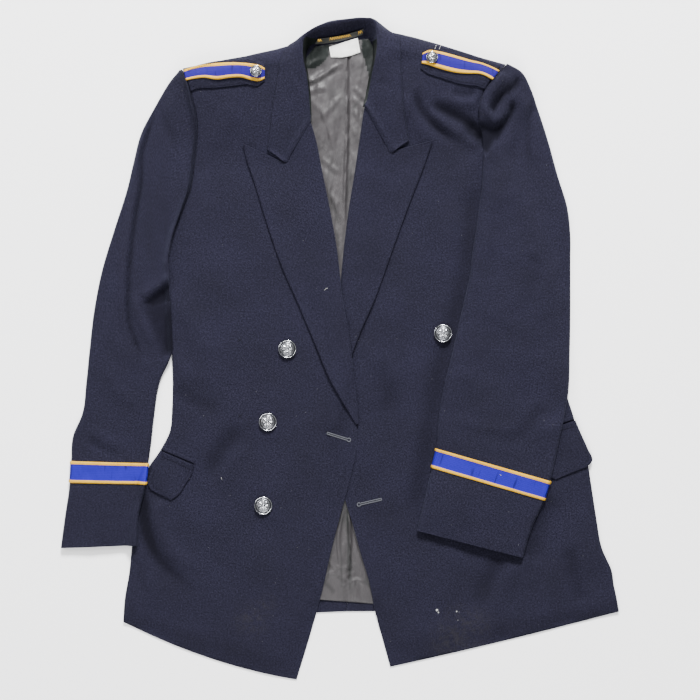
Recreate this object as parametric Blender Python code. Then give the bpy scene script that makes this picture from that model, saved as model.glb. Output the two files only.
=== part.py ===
# Fire service dress jacket, double-breasted, laid out flat on its back.
# X runs to the wearer's left, Y to the collar, Z up from the surface it lies on.
# "right" and "left" are the wearer's. Sizes are in millimetres until a mesh is made.

import math
from collections import namedtuple

import bpy
from mathutils import Vector
from mathutils.bvhtree import BVHTree

METRES = 0.001

# Driving dimensions
CLOTH = 1.8                 # wool with its backing
BACK_CLOTH = 1.6
LINING = 1.0
LAPEL_CLOTH = 2.0
COLLAR_CLOTH = 3.2          # the fall on its stand
RIBBON = 0.9
LABEL = 0.7
GAP = 0.3                   # between pieces that lie on each other
EDGE_GAP = 0.5              # between pieces that meet at a seam
COLLAR_EASE = 0.25          # the stiff collar lies a little higher
LIFT = 4.4                  # underside of the fronts over the back
BODY_CROWN = 7.0            # top of a front where it lies flat
SHOULDER_RISE = 13.0        # how much the padded shoulder adds
RISE_FROM, RISE_TO = 235.0, 365.0
FOLD_RADIUS = 8.0           # the soft fold along a side
SLEEVE_HEIGHT = 8.2
SLEEVE_PUFF = 1.2
SLEEVE_HOLLOW = 3.6
HOLLOW_INSET = 6.0          # the hollow stays this far from the folded edges
HOLLOW_FROM = 8             # the ring at which it ends, below the armhole
BACK_HEM = -350.0
CENTRE_BACK = 9.0
BUTTON_SIZE = 24.0
STRAP_BUTTON_SIZE = 15.0
BUTTON_SIDES = 20
SHOULDER_SHARE = 0.62       # of a back's top edge; the rest is the neck
SHOULDER_COLUMNS = 5
NECK_COLUMNS = 4
NECK_STRIP = 3.0

PanelRow = namedtuple("PanelRow", "side_x side_y front_x front_y bow fold")
LapelRow = namedtuple("LapelRow", "roll_x roll_y mid_x mid_y edge_x edge_y")
CollarRow = namedtuple(
    "CollarRow", "foot_x foot_y ridge_x ridge_y mid_x mid_y edge_x edge_y height drop")
SleeveRow = namedtuple("SleeveRow", "outer_x outer_y inner_x inner_y")
PatchRow = namedtuple("PatchRow", "start_x start_y end_x end_y")
Fold = namedtuple("Fold", "x y angle length width height")

# A row for each level of a front, from the shoulder seam to the hem.
# fold is 0 at the armhole and 1 where the side is folded under.
FRONT_RIGHT = [
    PanelRow(-201, 358, -65, 380, 0, 0),
    PanelRow(-196, 335, -53, 355, 0, 0),
    PanelRow(-190, 311, -45, 329, 0, 0),
    PanelRow(-189, 285, -38, 298, 0, 0),
    PanelRow(-193, 251, -31, 265, 0, 0),
    PanelRow(-198, 215, -23, 225, 0, 0),
    PanelRow(-210, 182, -16, 185, 0, 0),
    PanelRow(-221, 152, -9, 145, 0, 0),
    PanelRow(-229, 116, -2, 102, 0, 0),
    PanelRow(-229, 80, 3, 59, 0, 1),
    PanelRow(-227, 45, 10, 15, 0, 1),
    PanelRow(-225, 5, 17, -35, 0, 1),
    PanelRow(-223, -48, 21, -77, 0, 1),
    PanelRow(-224, -81, 22, -104, 0, 1),
    PanelRow(-227, -110, 22, -134, 0, 1),
    PanelRow(-239, -134, 17, -158, 0, 1),
    PanelRow(-257, -161, 10, -187, 0, 1),
    PanelRow(-265, -190, -1, -227, 0, 1),
    PanelRow(-271, -218, -12, -270, -1, 1),
    PanelRow(-277, -261, -22, -315, -3, 1),
    PanelRow(-281, -298, -33, -357, -6, 1),
    PanelRow(-287, -334, -46, -402, -8, 1),
    PanelRow(-289, -364, -58, -441, -10, 1),
]
FRONT_LEFT = [
    PanelRow(206, 360, 68, 398, 0, 0),
    PanelRow(192, 344, 53, 376, 0, 0),
    PanelRow(184, 322, 41, 347, 0, 0),
    PanelRow(189, 298, 32, 315, 0, 0),
    PanelRow(202, 265, 26, 278, 0, 0),
    PanelRow(223, 225, 19, 231, 0, 0),
    PanelRow(246, 181, 12, 188, 0, 0),
    PanelRow(263, 141, 6, 142, 0, 0),
    PanelRow(274, 105, 2, 102, 0, 0),
    PanelRow(287, 65, -2, 59, 0, 1),
    PanelRow(289, 12, -5, 12, 0, 1),
    PanelRow(294, -28, -8, -35, 0, 1),
    PanelRow(303, -64, -9, -74, 0, 1),
    PanelRow(311, -89, -9, -105, 0, 1),
    PanelRow(319, -118, -5, -141, 0, 1),
    PanelRow(330, -152, 1, -174, 0, 1),
    PanelRow(336, -188, 7, -201, 0, 1),
    PanelRow(342, -227, 17, -234, 0, 1),
    PanelRow(349, -265, 28, -274, 0, 1),
    PanelRow(362, -295, 39, -311, 0, 1),
    PanelRow(365, -314, 47, -351, 0, 1),
    PanelRow(369, -333, 57, -388, -1, 1),
    PanelRow(372, -350, 67, -424, -2, 1),
]

# Where the back turns over the shoulder: its front seam and its outline, from armhole to neck.
SHOULDER_RIGHT = [
    PatchRow(-201, 358, -210, 372),
    PatchRow(-65, 380, -80, 398),
]
SHOULDER_LEFT = [
    PatchRow(206, 360, 221, 378),
    PatchRow(68, 398, 80, 413),
]
NECK_RIGHT = [(-65, 380), (-50, 393), (-37, 405), (-13, 416), (CENTRE_BACK, 423)]
NECK_LEFT = [(68, 398), (52, 405), (42, 412), (28, 424), (CENTRE_BACK, 423)]

# From the roll line to the outer edge, from the gorge down to the last break.
LAPEL_RIGHT = [
    LapelRow(-39, 302, -72, 247, -129, 273),
    LapelRow(-32, 278, -74, 227, -124, 251),
    LapelRow(-24, 238, -66, 198, -114, 221),
    LapelRow(-13, 184, -53, 161, -98, 169),
    LapelRow(-4, 132, -41, 116, -80, 116),
    LapelRow(4, 65, -24, 57, -58, 65),
    LapelRow(13, 12, -9, 7, -35, 11),
    LapelRow(19, -41, 4, -44, -12, -43),
    LapelRow(23, -78, 16, -78, 7, -76),
    LapelRow(25, -100, 22.5, -100, 20, -98),
]
LAPEL_LEFT = [
    LapelRow(33, 323, 68, 263, 123, 277),
    LapelRow(29, 298, 64, 241, 117, 258),
    LapelRow(24, 258, 57, 218, 109, 235),
    LapelRow(17, 211, 51, 182, 94, 197),
    LapelRow(11, 174, 43, 150, 76, 148),
    LapelRow(5, 116, 31, 105, 59, 100),
    LapelRow(1, 65, 21, 61, 46, 65),
    LapelRow(-3, 19, 11, 17, 25, 17),
    LapelRow(-6, -31, 1, -31, 9, -31),
    LapelRow(-10, -78, -6.5, -78, -3, -78),
    LapelRow(-11, -100, -8.5, -100, -6, -99),
]

# The neck seam, the fold, the middle and the edge of the fall, from right front to left front.
# height is the fold's, and drop is 1 where the fall hangs behind.
COLLAR = [
    CollarRow(-37, 304, -40, 304, -73, 251, -97, 267, 12, 0),
    CollarRow(-38, 321, -41, 321, -70, 285, -94, 285, 17, 0),
    CollarRow(-39, 338, -42, 338, -66, 321, -90, 318, 20, 0),
    CollarRow(-42, 364, -45, 364, -63, 355, -85, 347, 25, 0),
    CollarRow(-45, 382, -49, 384, -64, 379, -80, 375, 27, 0),
    CollarRow(-44, 396, -50, 398, -63, 395, -76, 390, 28, 0),
    CollarRow(-38, 405, -49, 410, -58, 408, -68, 403, 27, 0.3),
    CollarRow(-29, 412, -37, 422, -43, 421, -49, 415, 25, 0.8),
    CollarRow(-13, 418, -17, 430, -20, 433, -23, 434, 23, 1),
    CollarRow(11, 426, 8, 435, 7, 438, 6, 440, 22, 1),
    CollarRow(28, 430, 29, 437, 31, 440, 33, 441, 22, 1),
    CollarRow(36, 427, 43, 436, 47, 437, 51, 436, 23, 1),
    CollarRow(41, 414, 48, 423, 56, 426, 65, 423, 25, 0.6),
    CollarRow(44, 399, 50, 404, 63, 411, 77, 412, 27, 0.2),
    CollarRow(44, 386, 48, 387, 63, 388, 80, 390, 28, 0),
    CollarRow(39, 363, 43, 363, 61, 362, 81, 359, 25, 0),
    CollarRow(33, 331, 37, 331, 60, 326, 84, 322, 19, 0),
    CollarRow(30, 324, 33, 324, 68, 264, 92, 278, 15, 0),
]

# Each sleeve's two folded edges, from the shoulder to the cuff.
SLEEVE_RIGHT = [
    SleeveRow(-229, 352, -231.5, 104),
    SleeveRow(-249, 318, -233, 96),
    SleeveRow(-265, 287, -234, 87),
    SleeveRow(-275, 249, -234, 77),
    SleeveRow(-283, 215, -234, 66),
    SleeveRow(-301, 158, -234, 52),
    SleeveRow(-317, 105, -233, 35),
    SleeveRow(-327, 55, -232, 17),
    SleeveRow(-334, -4, -231, -7),
    SleeveRow(-338, -44, -241, -44),
    SleeveRow(-344, -88, -248, -94),
    SleeveRow(-356, -117, -251, -121),
    SleeveRow(-358, -149, -255, -152),
    SleeveRow(-360, -178, -258, -180),
    SleeveRow(-367, -227, -268, -225),
    SleeveRow(-372, -265, -269, -261),
]
SLEEVE_LEFT = [
    SleeveRow(242, 366, 200, 277),
    SleeveRow(253, 347, 196, 257),
    SleeveRow(263, 321, 192, 238),
    SleeveRow(277, 278, 188, 214),
    SleeveRow(290, 231, 184, 185),
    SleeveRow(303, 188, 180, 156),
    SleeveRow(307, 152, 176, 129),
    SleeveRow(307, 116, 173, 102),
    SleeveRow(307, 65, 165, 65),
    SleeveRow(306, -1, 150, -1),
    SleeveRow(303, -61, 137, -55),
    SleeveRow(293, -110, 130, -100),
    SleeveRow(279, -175, 128, -132),
    SleeveRow(271, -201, 122, -158),
    SleeveRow(254, -241, 108, -217),
    SleeveRow(243, -277, 102, -241),
]
BRAID_ROWS = (13, 14)       # ring numbers between which the cuff braid lies
ARMHOLE_RIGHT = [(-210, 372)] + [(row.side_x, row.side_y) for row in FRONT_RIGHT[:9]]
ARMHOLE_LEFT = [(221, 378)] + [(row.side_x, row.side_y) for row in FRONT_LEFT[:4]]

BACK_LINING = [
    PatchRow(-34, 403, 38, 414),
    PatchRow(-46, 386, 50, 391),
    PatchRow(-52, 364, 52, 370),
    PatchRow(-49, 331, 47, 345),
    PatchRow(-39, 265, 33, 275),
    PatchRow(-29, 198, 20, 205),
    PatchRow(-18, 132, 14, 135),
    PatchRow(-12, 65, 14, 66),
    PatchRow(-12, -1, 18, 0),
    PatchRow(-12, -68, 22, -68),
    PatchRow(-12, -134, 24, -134),
    PatchRow(-14, -201, 25, -201),
    PatchRow(-31, -267, 43, -267),
    PatchRow(-43, -333, 60, -341),
]
FLAP_RIGHT = [
    PatchRow(-237, -136, -194, -154),
    PatchRow(-245, -149, -197, -166),
    PatchRow(-252, -164, -206, -181),
    PatchRow(-256, -178, -214, -193),
    PatchRow(-251, -188, -225, -201),
]
WELT_RIGHT = [
    PatchRow(-236, -129, -193, -146.5),
    PatchRow(-237, -134.5, -194, -152.5),
]
FLAP_LEFT = [
    PatchRow(273, -108, 313, -95),
    PatchRow(274, -129, 321, -113),
    PatchRow(277, -153, 330, -133),
    PatchRow(279, -170, 336, -149),
    PatchRow(288, -173, 328, -157),
]
WELT_LEFT = [
    PatchRow(272, -101, 310, -88.5),
    PatchRow(273, -106.5, 312, -93.5),
]
STRAP_RIGHT = [
    PatchRow(-206, 370.5, -200, 349),
    PatchRow(-192, 373, -188, 349),
    PatchRow(-165, 378.5, -160, 350),
    PatchRow(-141, 383, -138, 352),
    PatchRow(-118, 386, -118, 352),
    PatchRow(-104, 383, -105, 353),
    PatchRow(-97, 376, -98, 361),
]
STRAP_LEFT = [
    PatchRow(213, 374.5, 197, 350.5),
    PatchRow(200, 381, 185, 352),
    PatchRow(175, 390, 165, 356),
    PatchRow(150, 398, 143, 360),
    PatchRow(130, 402, 125, 365),
    PatchRow(116, 402, 113, 369),
    PatchRow(109, 393, 108, 376),
]
RIBBON_RIGHT = [
    PatchRow(-204.5, 369, -201.5, 356.5),
    PatchRow(-191, 371.5, -190, 357),
    PatchRow(-165, 376, -162, 358.5),
    PatchRow(-141, 380, -138, 359.5),
    PatchRow(-118, 380.5, -118, 359),
    PatchRow(-103, 378, -104, 358.5),
    PatchRow(-99, 374, -99.5, 363),
]
RIBBON_LEFT = [
    PatchRow(210, 373, 202, 359),
    PatchRow(196, 379, 188, 363),
    PatchRow(175, 386.5, 169, 367),
    PatchRow(150, 394, 145, 373),
    PatchRow(130, 398, 126, 376),
    PatchRow(118, 399, 115, 379.5),
    PatchRow(111.5, 391, 111, 384),
]
BRAND_LABEL = [
    PatchRow(-33, 404.5, -29.5, 411),
    PatchRow(0, 410, 2, 416.5),
    PatchRow(30, 418, 31.5, 424.5),
]
CARE_LABEL = [
    PatchRow(-14.5, 402, -12, 388.5),
    PatchRow(5, 408.5, 8, 389),
    PatchRow(23.5, 414.5, 27, 395),
]
BUTTONS = [("button_1", -70, 0), ("button_2", -96, -97), ("button_3", -102, -208)]
LEFT_BUTTONS = [("button_4", 137, 21)]
STRAP_BUTTONS = [("strap_button_right", -114, 369), ("strap_button_left", 120, 388)]

# The largest folds of the cloth: where each lies, which way it runs, and how high or deep it is.
FRONT_FOLDS = [
    Fold(118, 285, -52, 120, 26, 1.6),
    Fold(165, 290, -28, 90, 22, -1.4),
    Fold(-185, 30, 80, 170, 30, 1.3),
    Fold(-235, -250, 108, 170, 26, 1.8),
    Fold(-205, -275, 120, 120, 22, -1.4),
    Fold(-165, -140, 65, 90, 34, -1.4),
    Fold(40, -60, 70, 110, 34, -1.2),
    Fold(195, -300, 60, 130, 34, 1.6),
    Fold(300, -290, 100, 100, 24, 1.4),
]
SLEEVE_FOLDS = [
    Fold(-270, 190, 82, 240, 22, 2.0),
    Fold(-282, 20, 100, 150, 24, 2.4),
    Fold(-265, -55, 118, 90, 20, -1.2),
    Fold(-320, -128, 155, 80, 20, 1.6),
    Fold(212, 305, -25, 60, 22, 5.0),
    Fold(247, 255, 75, 130, 24, 2.4),
    Fold(255, 95, -30, 90, 20, -1.2),
    Fold(180, -10, 70, 140, 26, 1.6),
    Fold(262, -60, 100, 120, 24, 1.8),
]

NAVY = (0.030, 0.032, 0.058)
LINING_GREY = (0.15, 0.14, 0.15)
BRAID_BLUE = (0.07, 0.10, 0.55)
CHROME = (0.72, 0.72, 0.74)
LABEL_BLACK = (0.02, 0.02, 0.018)
LABEL_WHITE = (0.75, 0.75, 0.72)

laid = {}                   # each finished piece's surface, for the next to rest on


def mix(a, b, t):
    return a + (b - a) * t


def ease(t):
    t = min(max(t, 0.0), 1.0)
    return t * t * (3.0 - 2.0 * t)


def rounded(t):
    # rises as a quarter circle from 0 to 1
    t = min(max(t, 0.0), 1.0)
    return math.sqrt(1.0 - (1.0 - t) ** 2)


def crown(y):
    # the upper surface of the laid body: flat, then padded towards the shoulder
    return BODY_CROWN + SHOULDER_RISE * ease((y - RISE_FROM) / (RISE_TO - RISE_FROM))


def folds_at(folds, x, y):
    height = 0.0
    for fold in folds:
        turn = math.radians(fold.angle)
        along = (x - fold.x) * math.cos(turn) + (y - fold.y) * math.sin(turn)
        across = -(x - fold.x) * math.sin(turn) + (y - fold.y) * math.cos(turn)
        reach = math.exp(-(2.0 * along / fold.length) ** 2 - (2.0 * across / fold.width) ** 2)
        height += fold.height * reach
    return height


def surface_under(pieces, x, y):
    # the highest of these pieces under a plan point, or the floor
    highest = 0.0
    for name in pieces:
        hit = laid[name].ray_cast(Vector((x, y, 500.0)), Vector((0.0, 0.0, -1.0)))
        if hit[0] is not None:
            highest = max(highest, hit[0].z)
    return highest


def settle(points, pieces, reach, slope):
    # cloth bridges what it lies on: no steeper than slope, and clear by GAP
    spots = [(0.0, 0.0)]
    if reach > 0.0:
        spots += [(radius * reach * math.cos(turn * math.pi / 4.0),
                   radius * reach * math.sin(turn * math.pi / 4.0))
                  for radius in (0.5, 1.0) for turn in range(8)]
    raised = []
    for x, y in points:
        height = max(surface_under(pieces, x + dx, y + dy) for dx, dy in spots)
        raised.append(height + GAP if height > 0.0 else 0.0)
    settled = []
    for x, y in points:
        settled.append(max(height - slope * math.hypot(x - px, y - py)
                           for (px, py), height in zip(points, raised)))
    return [max(height, 0.0) for height in settled]


def lowest_facet(corners, u, v):
    # height inside a four-sided facet, whichever way it is cut in two
    first, second, third, fourth = corners
    if u > v:
        one = first + u * (second - first) + v * (third - second)
    else:
        one = first + v * (fourth - first) + u * (third - fourth)
    if u + v < 1.0:
        other = first + u * (second - first) + v * (fourth - first)
    else:
        other = third + (1.0 - u) * (fourth - third) + (1.0 - v) * (second - third)
    return min(one, other)


def lift_clear(plan, heights, pieces, step=5.0, passes=2, around=0.5):
    # raise the corners of each facet until the whole facet clears what is under it
    near_by = step * around
    nearby = ((0.0, 0.0), (near_by, 0.0), (-near_by, 0.0), (0.0, near_by), (0.0, -near_by))
    for _ in range(passes):
        lifted = False
        for i in range(len(plan) - 1):
            for j in range(len(plan[i]) - 1):
                spots = ((i, j), (i, j + 1), (i + 1, j + 1), (i + 1, j))
                corners = [plan[a][b] for a, b in spots]
                across = max(math.dist(corners[0], corners[1]), math.dist(corners[3], corners[2]))
                along = max(math.dist(corners[0], corners[3]), math.dist(corners[1], corners[2]))
                across_steps = max(1, min(8, math.ceil(across / step)))
                along_steps = max(1, min(8, math.ceil(along / step)))
                levels = [heights[a][b] for a, b in spots]
                short = 0.0
                for a in range(across_steps + 1):
                    for b in range(along_steps + 1):
                        u = a / across_steps
                        v = b / along_steps
                        near = [mix(corners[0][axis], corners[1][axis], u) for axis in (0, 1)]
                        far = [mix(corners[3][axis], corners[2][axis], u) for axis in (0, 1)]
                        x = mix(near[0], far[0], v)
                        y = mix(near[1], far[1], v)
                        under = max(surface_under(pieces, x + dx, y + dy) for dx, dy in nearby)
                        if under > 0.0:
                            short = max(short, under + GAP - lowest_facet(levels, u, v))
                if short > 0.01:
                    lifted = True
                    for a, b in spots:
                        heights[a][b] += short
        if not lifted:
            break
    return heights


def finish_piece(name, points, faces, colour, roughness, metallic=0.0):
    mesh = bpy.data.meshes.new(name)
    mesh.from_pydata([tuple(value * METRES for value in point) for point in points], [], faces)
    mesh.validate()
    mesh.calc_loop_triangles()
    triangles = [tuple(triangle.vertices) for triangle in mesh.loop_triangles]
    laid[name] = BVHTree.FromPolygons([Vector(point) for point in points], triangles)
    mesh.shade_smooth()
    mesh.set_sharp_from_angle(angle=math.radians(40.0))
    piece = bpy.data.objects.new(name, mesh)
    bpy.context.scene.collection.objects.link(piece)
    material = bpy.data.materials.new(name)
    material.use_nodes = True
    shader = material.node_tree.nodes["Principled BSDF"]
    shader.inputs["Base Color"].default_value = (*colour, 1.0)
    shader.inputs["Roughness"].default_value = roughness
    shader.inputs["Metallic"].default_value = metallic
    material.diffuse_color = (*colour, 1.0)
    mesh.materials.append(material)
    return piece


def facing_up(grid):
    # whether the grid's rows and columns turn so that its faces look up
    area = 0.0
    for row, following in zip(grid, grid[1:]):
        for a, b, d in zip(row, row[1:], following):
            area += (b[0] - a[0]) * (d[1] - a[1]) - (b[1] - a[1]) * (d[0] - a[0])
    return area > 0.0


def wall(name, top, bottom, colour=NAVY, roughness=0.9, metallic=0.0):
    # a closed sheet between two grids of points with the same rows and columns
    if not facing_up(top):
        top = [row[::-1] for row in top]
        bottom = [row[::-1] for row in bottom]
    rows = len(top)
    columns = len(top[0])
    points = [point for row in top for point in row] + [point for row in bottom for point in row]
    under = rows * columns
    faces = []
    for i in range(rows - 1):
        for j in range(columns - 1):
            a = i * columns + j
            b = a + 1
            c = a + columns + 1
            d = a + columns
            # cut both the same way, so that the two sides never meet
            faces += [(a, b, c), (a, c, d)]
            faces += [(under + c, under + b, under + a), (under + d, under + c, under + a)]
    rim = [j for j in range(columns)]
    rim += [i * columns + columns - 1 for i in range(1, rows)]
    rim += [(rows - 1) * columns + j for j in range(columns - 2, -1, -1)]
    rim += [i * columns for i in range(rows - 2, 0, -1)]
    for a, b in zip(rim, rim[1:] + rim[:1]):
        faces.append((b, a, under + a, under + b))
    return finish_piece(name, points, faces, colour, roughness, metallic)


def polyline_at(line, share):
    # a point at a share of the length of a line of points
    lengths = [math.dist(a, b) for a, b in zip(line, line[1:])]
    target = share * sum(lengths)
    for (a, b), length in zip(zip(line, line[1:]), lengths):
        if target <= length or (a, b) == (line[-2], line[-1]):
            t = min(target / length, 1.0)
            return (mix(a[0], b[0], t), mix(a[1], b[1], t))
        target -= length
    return line[-1]


def spread(line, count):
    # every corner of a line, with more points put into its longest stretches
    line = list(line)
    while len(line) < count:
        lengths = [math.dist(a, b) for a, b in zip(line, line[1:])]
        k = lengths.index(max(lengths))
        a, b = line[k], line[k + 1]
        line.insert(k + 1, ((a[0] + b[0]) / 2.0, (a[1] + b[1]) / 2.0))
    return line


def moved_out(line, distance, side):
    # the same line, parallel to itself towards +X or -X
    moved = []
    for k, point in enumerate(line):
        before = line[max(k - 1, 0)]
        after = line[min(k + 1, len(line) - 1)]
        normal = Vector((after[1] - before[1], before[0] - after[0])).normalized()
        if normal.x * side < 0.0:
            normal = -normal
        moved.append((point[0] + normal.x * distance, point[1] + normal.y * distance))
    return moved


def column_shares(width, radius, even):
    # closer columns over the folded edge, then even ones
    near = [0.0, 0.1 * radius, 0.38 * radius, radius]
    return [distance / width for distance in near] + [
        mix(radius / width, 1.0, k / even) for k in range(1, even + 1)]


def make_front(name, rows, pieces, even_columns=9):
    plan = []
    for row in rows:
        width = math.dist((row.side_x, row.side_y), (row.front_x, row.front_y))
        line = []
        for share in column_shares(width, FOLD_RADIUS, even_columns):
            x = mix(row.side_x, row.front_x, share)
            y = mix(row.side_y, row.front_y, share) + row.bow * 4.0 * share * (1.0 - share)
            line.append((x, y, share * width, row.fold))
        plan.append(line)
    flat = [(x, y) for line in plan for x, y, distance, fold in line]
    rests = iter(settle(flat, pieces, 12.0, 0.3))
    heights = []
    for line in plan:
        level_line = []
        for x, y, distance, fold in line:
            rest = next(rests)
            lift = mix(0.6, LIFT, ease((y - BACK_HEM + 22.0) / 22.0))
            edge = min(BACK_CLOTH + GAP, lift)
            turned_under = mix(1.0, rounded((distance - CLOTH / 2.0) / FOLD_RADIUS), fold)
            level_line.append(max(mix(edge, lift, turned_under), rest))
        heights.append(level_line)
    lift_clear([[(x, y) for x, y, distance, fold in line] for line in plan], heights, pieces)
    top = []
    bottom = []
    for line, level_line in zip(plan, heights):
        top_line = []
        bottom_line = []
        for (x, y, distance, fold), under in zip(line, level_line):
            lift = mix(0.6, LIFT, ease((y - BACK_HEM + 22.0) / 22.0))
            edge = min(BACK_CLOTH + GAP, lift)
            turned = mix(1.0, rounded(distance / FOLD_RADIUS), fold)
            height = crown(y) + folds_at(FRONT_FOLDS, x, y)
            over = max(mix(edge + CLOTH, height, turned), under + CLOTH)
            top_line.append((x, y, over))
            bottom_line.append((x, y, under))
        top.append(top_line)
        bottom.append(bottom_line)
    wall(name, top, bottom)


def make_back(name, rows, shoulder, neck):
    # the panel lies on the floor, and its padded top turns over the shoulder
    sign = -1.0 if rows[0].side_x < 0 else 1.0
    seam = [(shoulder[0].start_x, shoulder[0].start_y)] + neck
    outline = [(shoulder[0].end_x, shoulder[0].end_y), (shoulder[1].end_x, shoulder[1].end_y)]
    shares = [SHOULDER_SHARE * k / SHOULDER_COLUMNS for k in range(SHOULDER_COLUMNS + 1)]
    shares += [mix(SHOULDER_SHARE, 1.0, k / NECK_COLUMNS) for k in range(1, NECK_COLUMNS + 1)]
    centre_x = CENTRE_BACK + sign * GAP / 2.0
    seam_points = []
    strip_points = []
    for share in shares:
        if share <= SHOULDER_SHARE + 1e-6:
            along = share / SHOULDER_SHARE
            x, y = polyline_at(seam[:2], along)
            out_x, out_y = polyline_at(outline, along)
            full = 1.0
        else:
            along = (share - SHOULDER_SHARE) / (1.0 - SHOULDER_SHARE)
            x, y = polyline_at(neck, along)
            out_x, out_y = x, y + NECK_STRIP
            full = 0.0
        seam_points.append((x, y))
        strip_points.append((out_x, out_y, full))
    seam_points[-1] = (centre_x, seam_points[-1][1])
    strip_points[-1] = (centre_x, strip_points[-1][1], 0.0)
    # where the shoulder meets the neck, the strip is half as wide and half as high
    corner = seam_points[SHOULDER_COLUMNS]
    outer_corner = strip_points[SHOULDER_COLUMNS]
    strip_points[SHOULDER_COLUMNS] = (*polyline_at([corner, outer_corner[:2]], 0.5), 0.55)
    top = []
    bottom = []
    # the strip that turns over, from its outline down to the seam
    for part in (1.0, 0.9, 0.65, 0.3, 0.0):
        line = []
        for (x, y), (out_x, out_y, full) in zip(seam_points, strip_points):
            height = (crown(y) - BACK_CLOTH - 3.0) * full
            level = BACK_CLOTH + 3.0 * full + height * math.sqrt(1.0 - part * part)
            line.append((mix(x, out_x, part), mix(y + EDGE_GAP, out_y, part), level))
        top.append(line)
    top.append([(x, y + EDGE_GAP - 0.25, BACK_CLOTH) for x, y in seam_points])
    low = len(rows) - 1
    for k in range(1, len(rows)):
        row = rows[k]
        centre_y = mix(neck[-1][1], BACK_HEM, k / low)
        side_y = row.side_y
        if k == low:
            side_y = row.side_y + 2.0
        line = []
        for share in shares:
            line.append((mix(row.side_x, centre_x, share), mix(side_y, centre_y, share), BACK_CLOTH))
        top.append(line)
    bottom = [[(x, y, 0.0) for x, y, z in line] for line in top]
    wall(name, top, bottom)


def make_patch(name, rows, pieces, columns, thickness, colour, roughness=0.9, reach=3.0,
               slope=0.6, across_rows=1):
    # a small flat piece that follows what it lies on
    plan = []
    for k in range((len(rows) - 1) * across_rows + 1):
        row = rows[min(k // across_rows, len(rows) - 2)]
        following = rows[min(k // across_rows, len(rows) - 2) + 1]
        t = k / across_rows - min(k // across_rows, len(rows) - 2)
        start = (mix(row.start_x, following.start_x, t), mix(row.start_y, following.start_y, t))
        end = (mix(row.end_x, following.end_x, t), mix(row.end_y, following.end_y, t))
        plan.append([(mix(start[0], end[0], c / columns), mix(start[1], end[1], c / columns))
                     for c in range(columns + 1)])
    lay_patch(name, plan, pieces, thickness, colour, roughness, reach, slope)


def lay_patch(name, plan, pieces, thickness, colour, roughness, reach, slope):
    rests = iter(settle([point for line in plan for point in line], pieces, reach, slope))
    heights = [[next(rests) for point in line] for line in plan]
    lift_clear(plan, heights, pieces, 3.0)
    bottom = [[(x, y, level) for (x, y), level in zip(line, level_line)]
              for line, level_line in zip(plan, heights)]
    top = [[(x, y, level + thickness) for x, y, level in line] for line in bottom]
    wall(name, top, bottom, colour, roughness)


def make_lapel(name, rows, pieces):
    # turned back at the roll line, where it curls down to the front edge under it
    plan = []
    for row in rows:
        roll = (row.roll_x, row.roll_y)
        mid = (row.mid_x, row.mid_y)
        edge = (row.edge_x, row.edge_y)
        inner = math.dist(roll, mid)
        near = [distance / inner for distance in (0.0, 1.0, 3.2, 8.0) if distance < inner * 0.7]
        near += [near[-1]] * (4 - len(near))
        if inner * 0.7 <= 8.0:
            near = [0.0, 0.12, 0.35, 0.65]
        line = [(mix(roll[0], mid[0], t), mix(roll[1], mid[1], t), t * inner) for t in near]
        line.append((*mid, inner))
        outer = math.dist(mid, edge)
        line += [(mix(mid[0], edge[0], t), mix(mid[1], edge[1], t), inner + t * outer)
                 for t in (0.33, 0.67, 1.0)]
        plan.append(line)
    rests = iter(settle([(x, y) for line in plan for x, y, distance in line], pieces, 2.0, 1.2))
    heights = []
    for line in plan:
        width = line[-1][2]
        heights.append([next(rests) + 1.8 * math.sin(math.pi * min(distance / 45.0, 1.0))
                        * min(width / 60.0, 1.0) for x, y, distance in line])
    lift_clear([[(x, y) for x, y, distance in line] for line in plan], heights, pieces)
    top = []
    bottom = []
    for line, level_line in zip(plan, heights):
        top_line = []
        bottom_line = []
        for (x, y, distance), under in zip(line, level_line):
            bottom_line.append((x, y, under))
            top_line.append((x, y, under + LAPEL_CLOTH * mix(0.8, 1.0, rounded(distance / 8.0))))
        top.append(top_line)
        bottom.append(bottom_line)
    wall(name, top, bottom)


def make_collar(pieces):
    # stand and fall in one fold, lying open round the neck and on the fronts
    plan = []
    for row in COLLAR:
        foot = (row.foot_x, row.foot_y)
        ridge = (row.ridge_x, row.ridge_y)
        mid = (row.mid_x, row.mid_y)
        edge = (row.edge_x, row.edge_y)
        line = [(*foot, 0.0), (*polyline_at([foot, ridge], 0.4), 0.55),
                (*polyline_at([foot, ridge], 0.75), 0.88), (*ridge, 1.0)]
        line.append((*polyline_at([ridge, mid], 0.4), 0.97))
        line.append((*mid, 0.7))
        line.append((*polyline_at([mid, edge], 0.5), 0.3))
        line.append((*edge, 0.0))
        plan.append(line)
    rests = iter(settle([(x, y) for line in plan for x, y, rise in line], pieces, 4.0, 0.8))
    heights = [[max(next(rests), GAP) for point in line] for line in plan]
    lift_clear([[(x, y) for x, y, rise in line] for line in plan], heights, pieces)
    heights = [[level + COLLAR_EASE for level in level_line] for level_line in heights]
    top = []
    bottom = []
    for row, line, level_line in zip(COLLAR, plan, heights):
        top_line = []
        bottom_line = []
        for place, ((x, y, rise), under) in enumerate(zip(line, level_line)):
            low = under + COLLAR_CLOTH
            if place < 3:
                # the inner face of the stand, steep at the front and leaning back at the neck
                low = under + 1.6
            high = max(row.height, low)
            level = mix(low, high, rise)
            if place > 3:
                level = mix(level, mix(high, under + 3.0, (1.0 - rise) ** 0.7), row.drop)
            top_line.append((x, y, max(level, low)))
            bottom_line.append((x, y, under))
        top.append(top_line)
        bottom.append(bottom_line)
    wall("collar", top, bottom)


def ring_shares(width, radius):
    near = [0.0, 0.22 * radius / width, 0.85 * radius / width]
    return near + [0.22, 0.36, 0.5, 0.64, 0.78] + [1.0 - share for share in near[::-1]]


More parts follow.
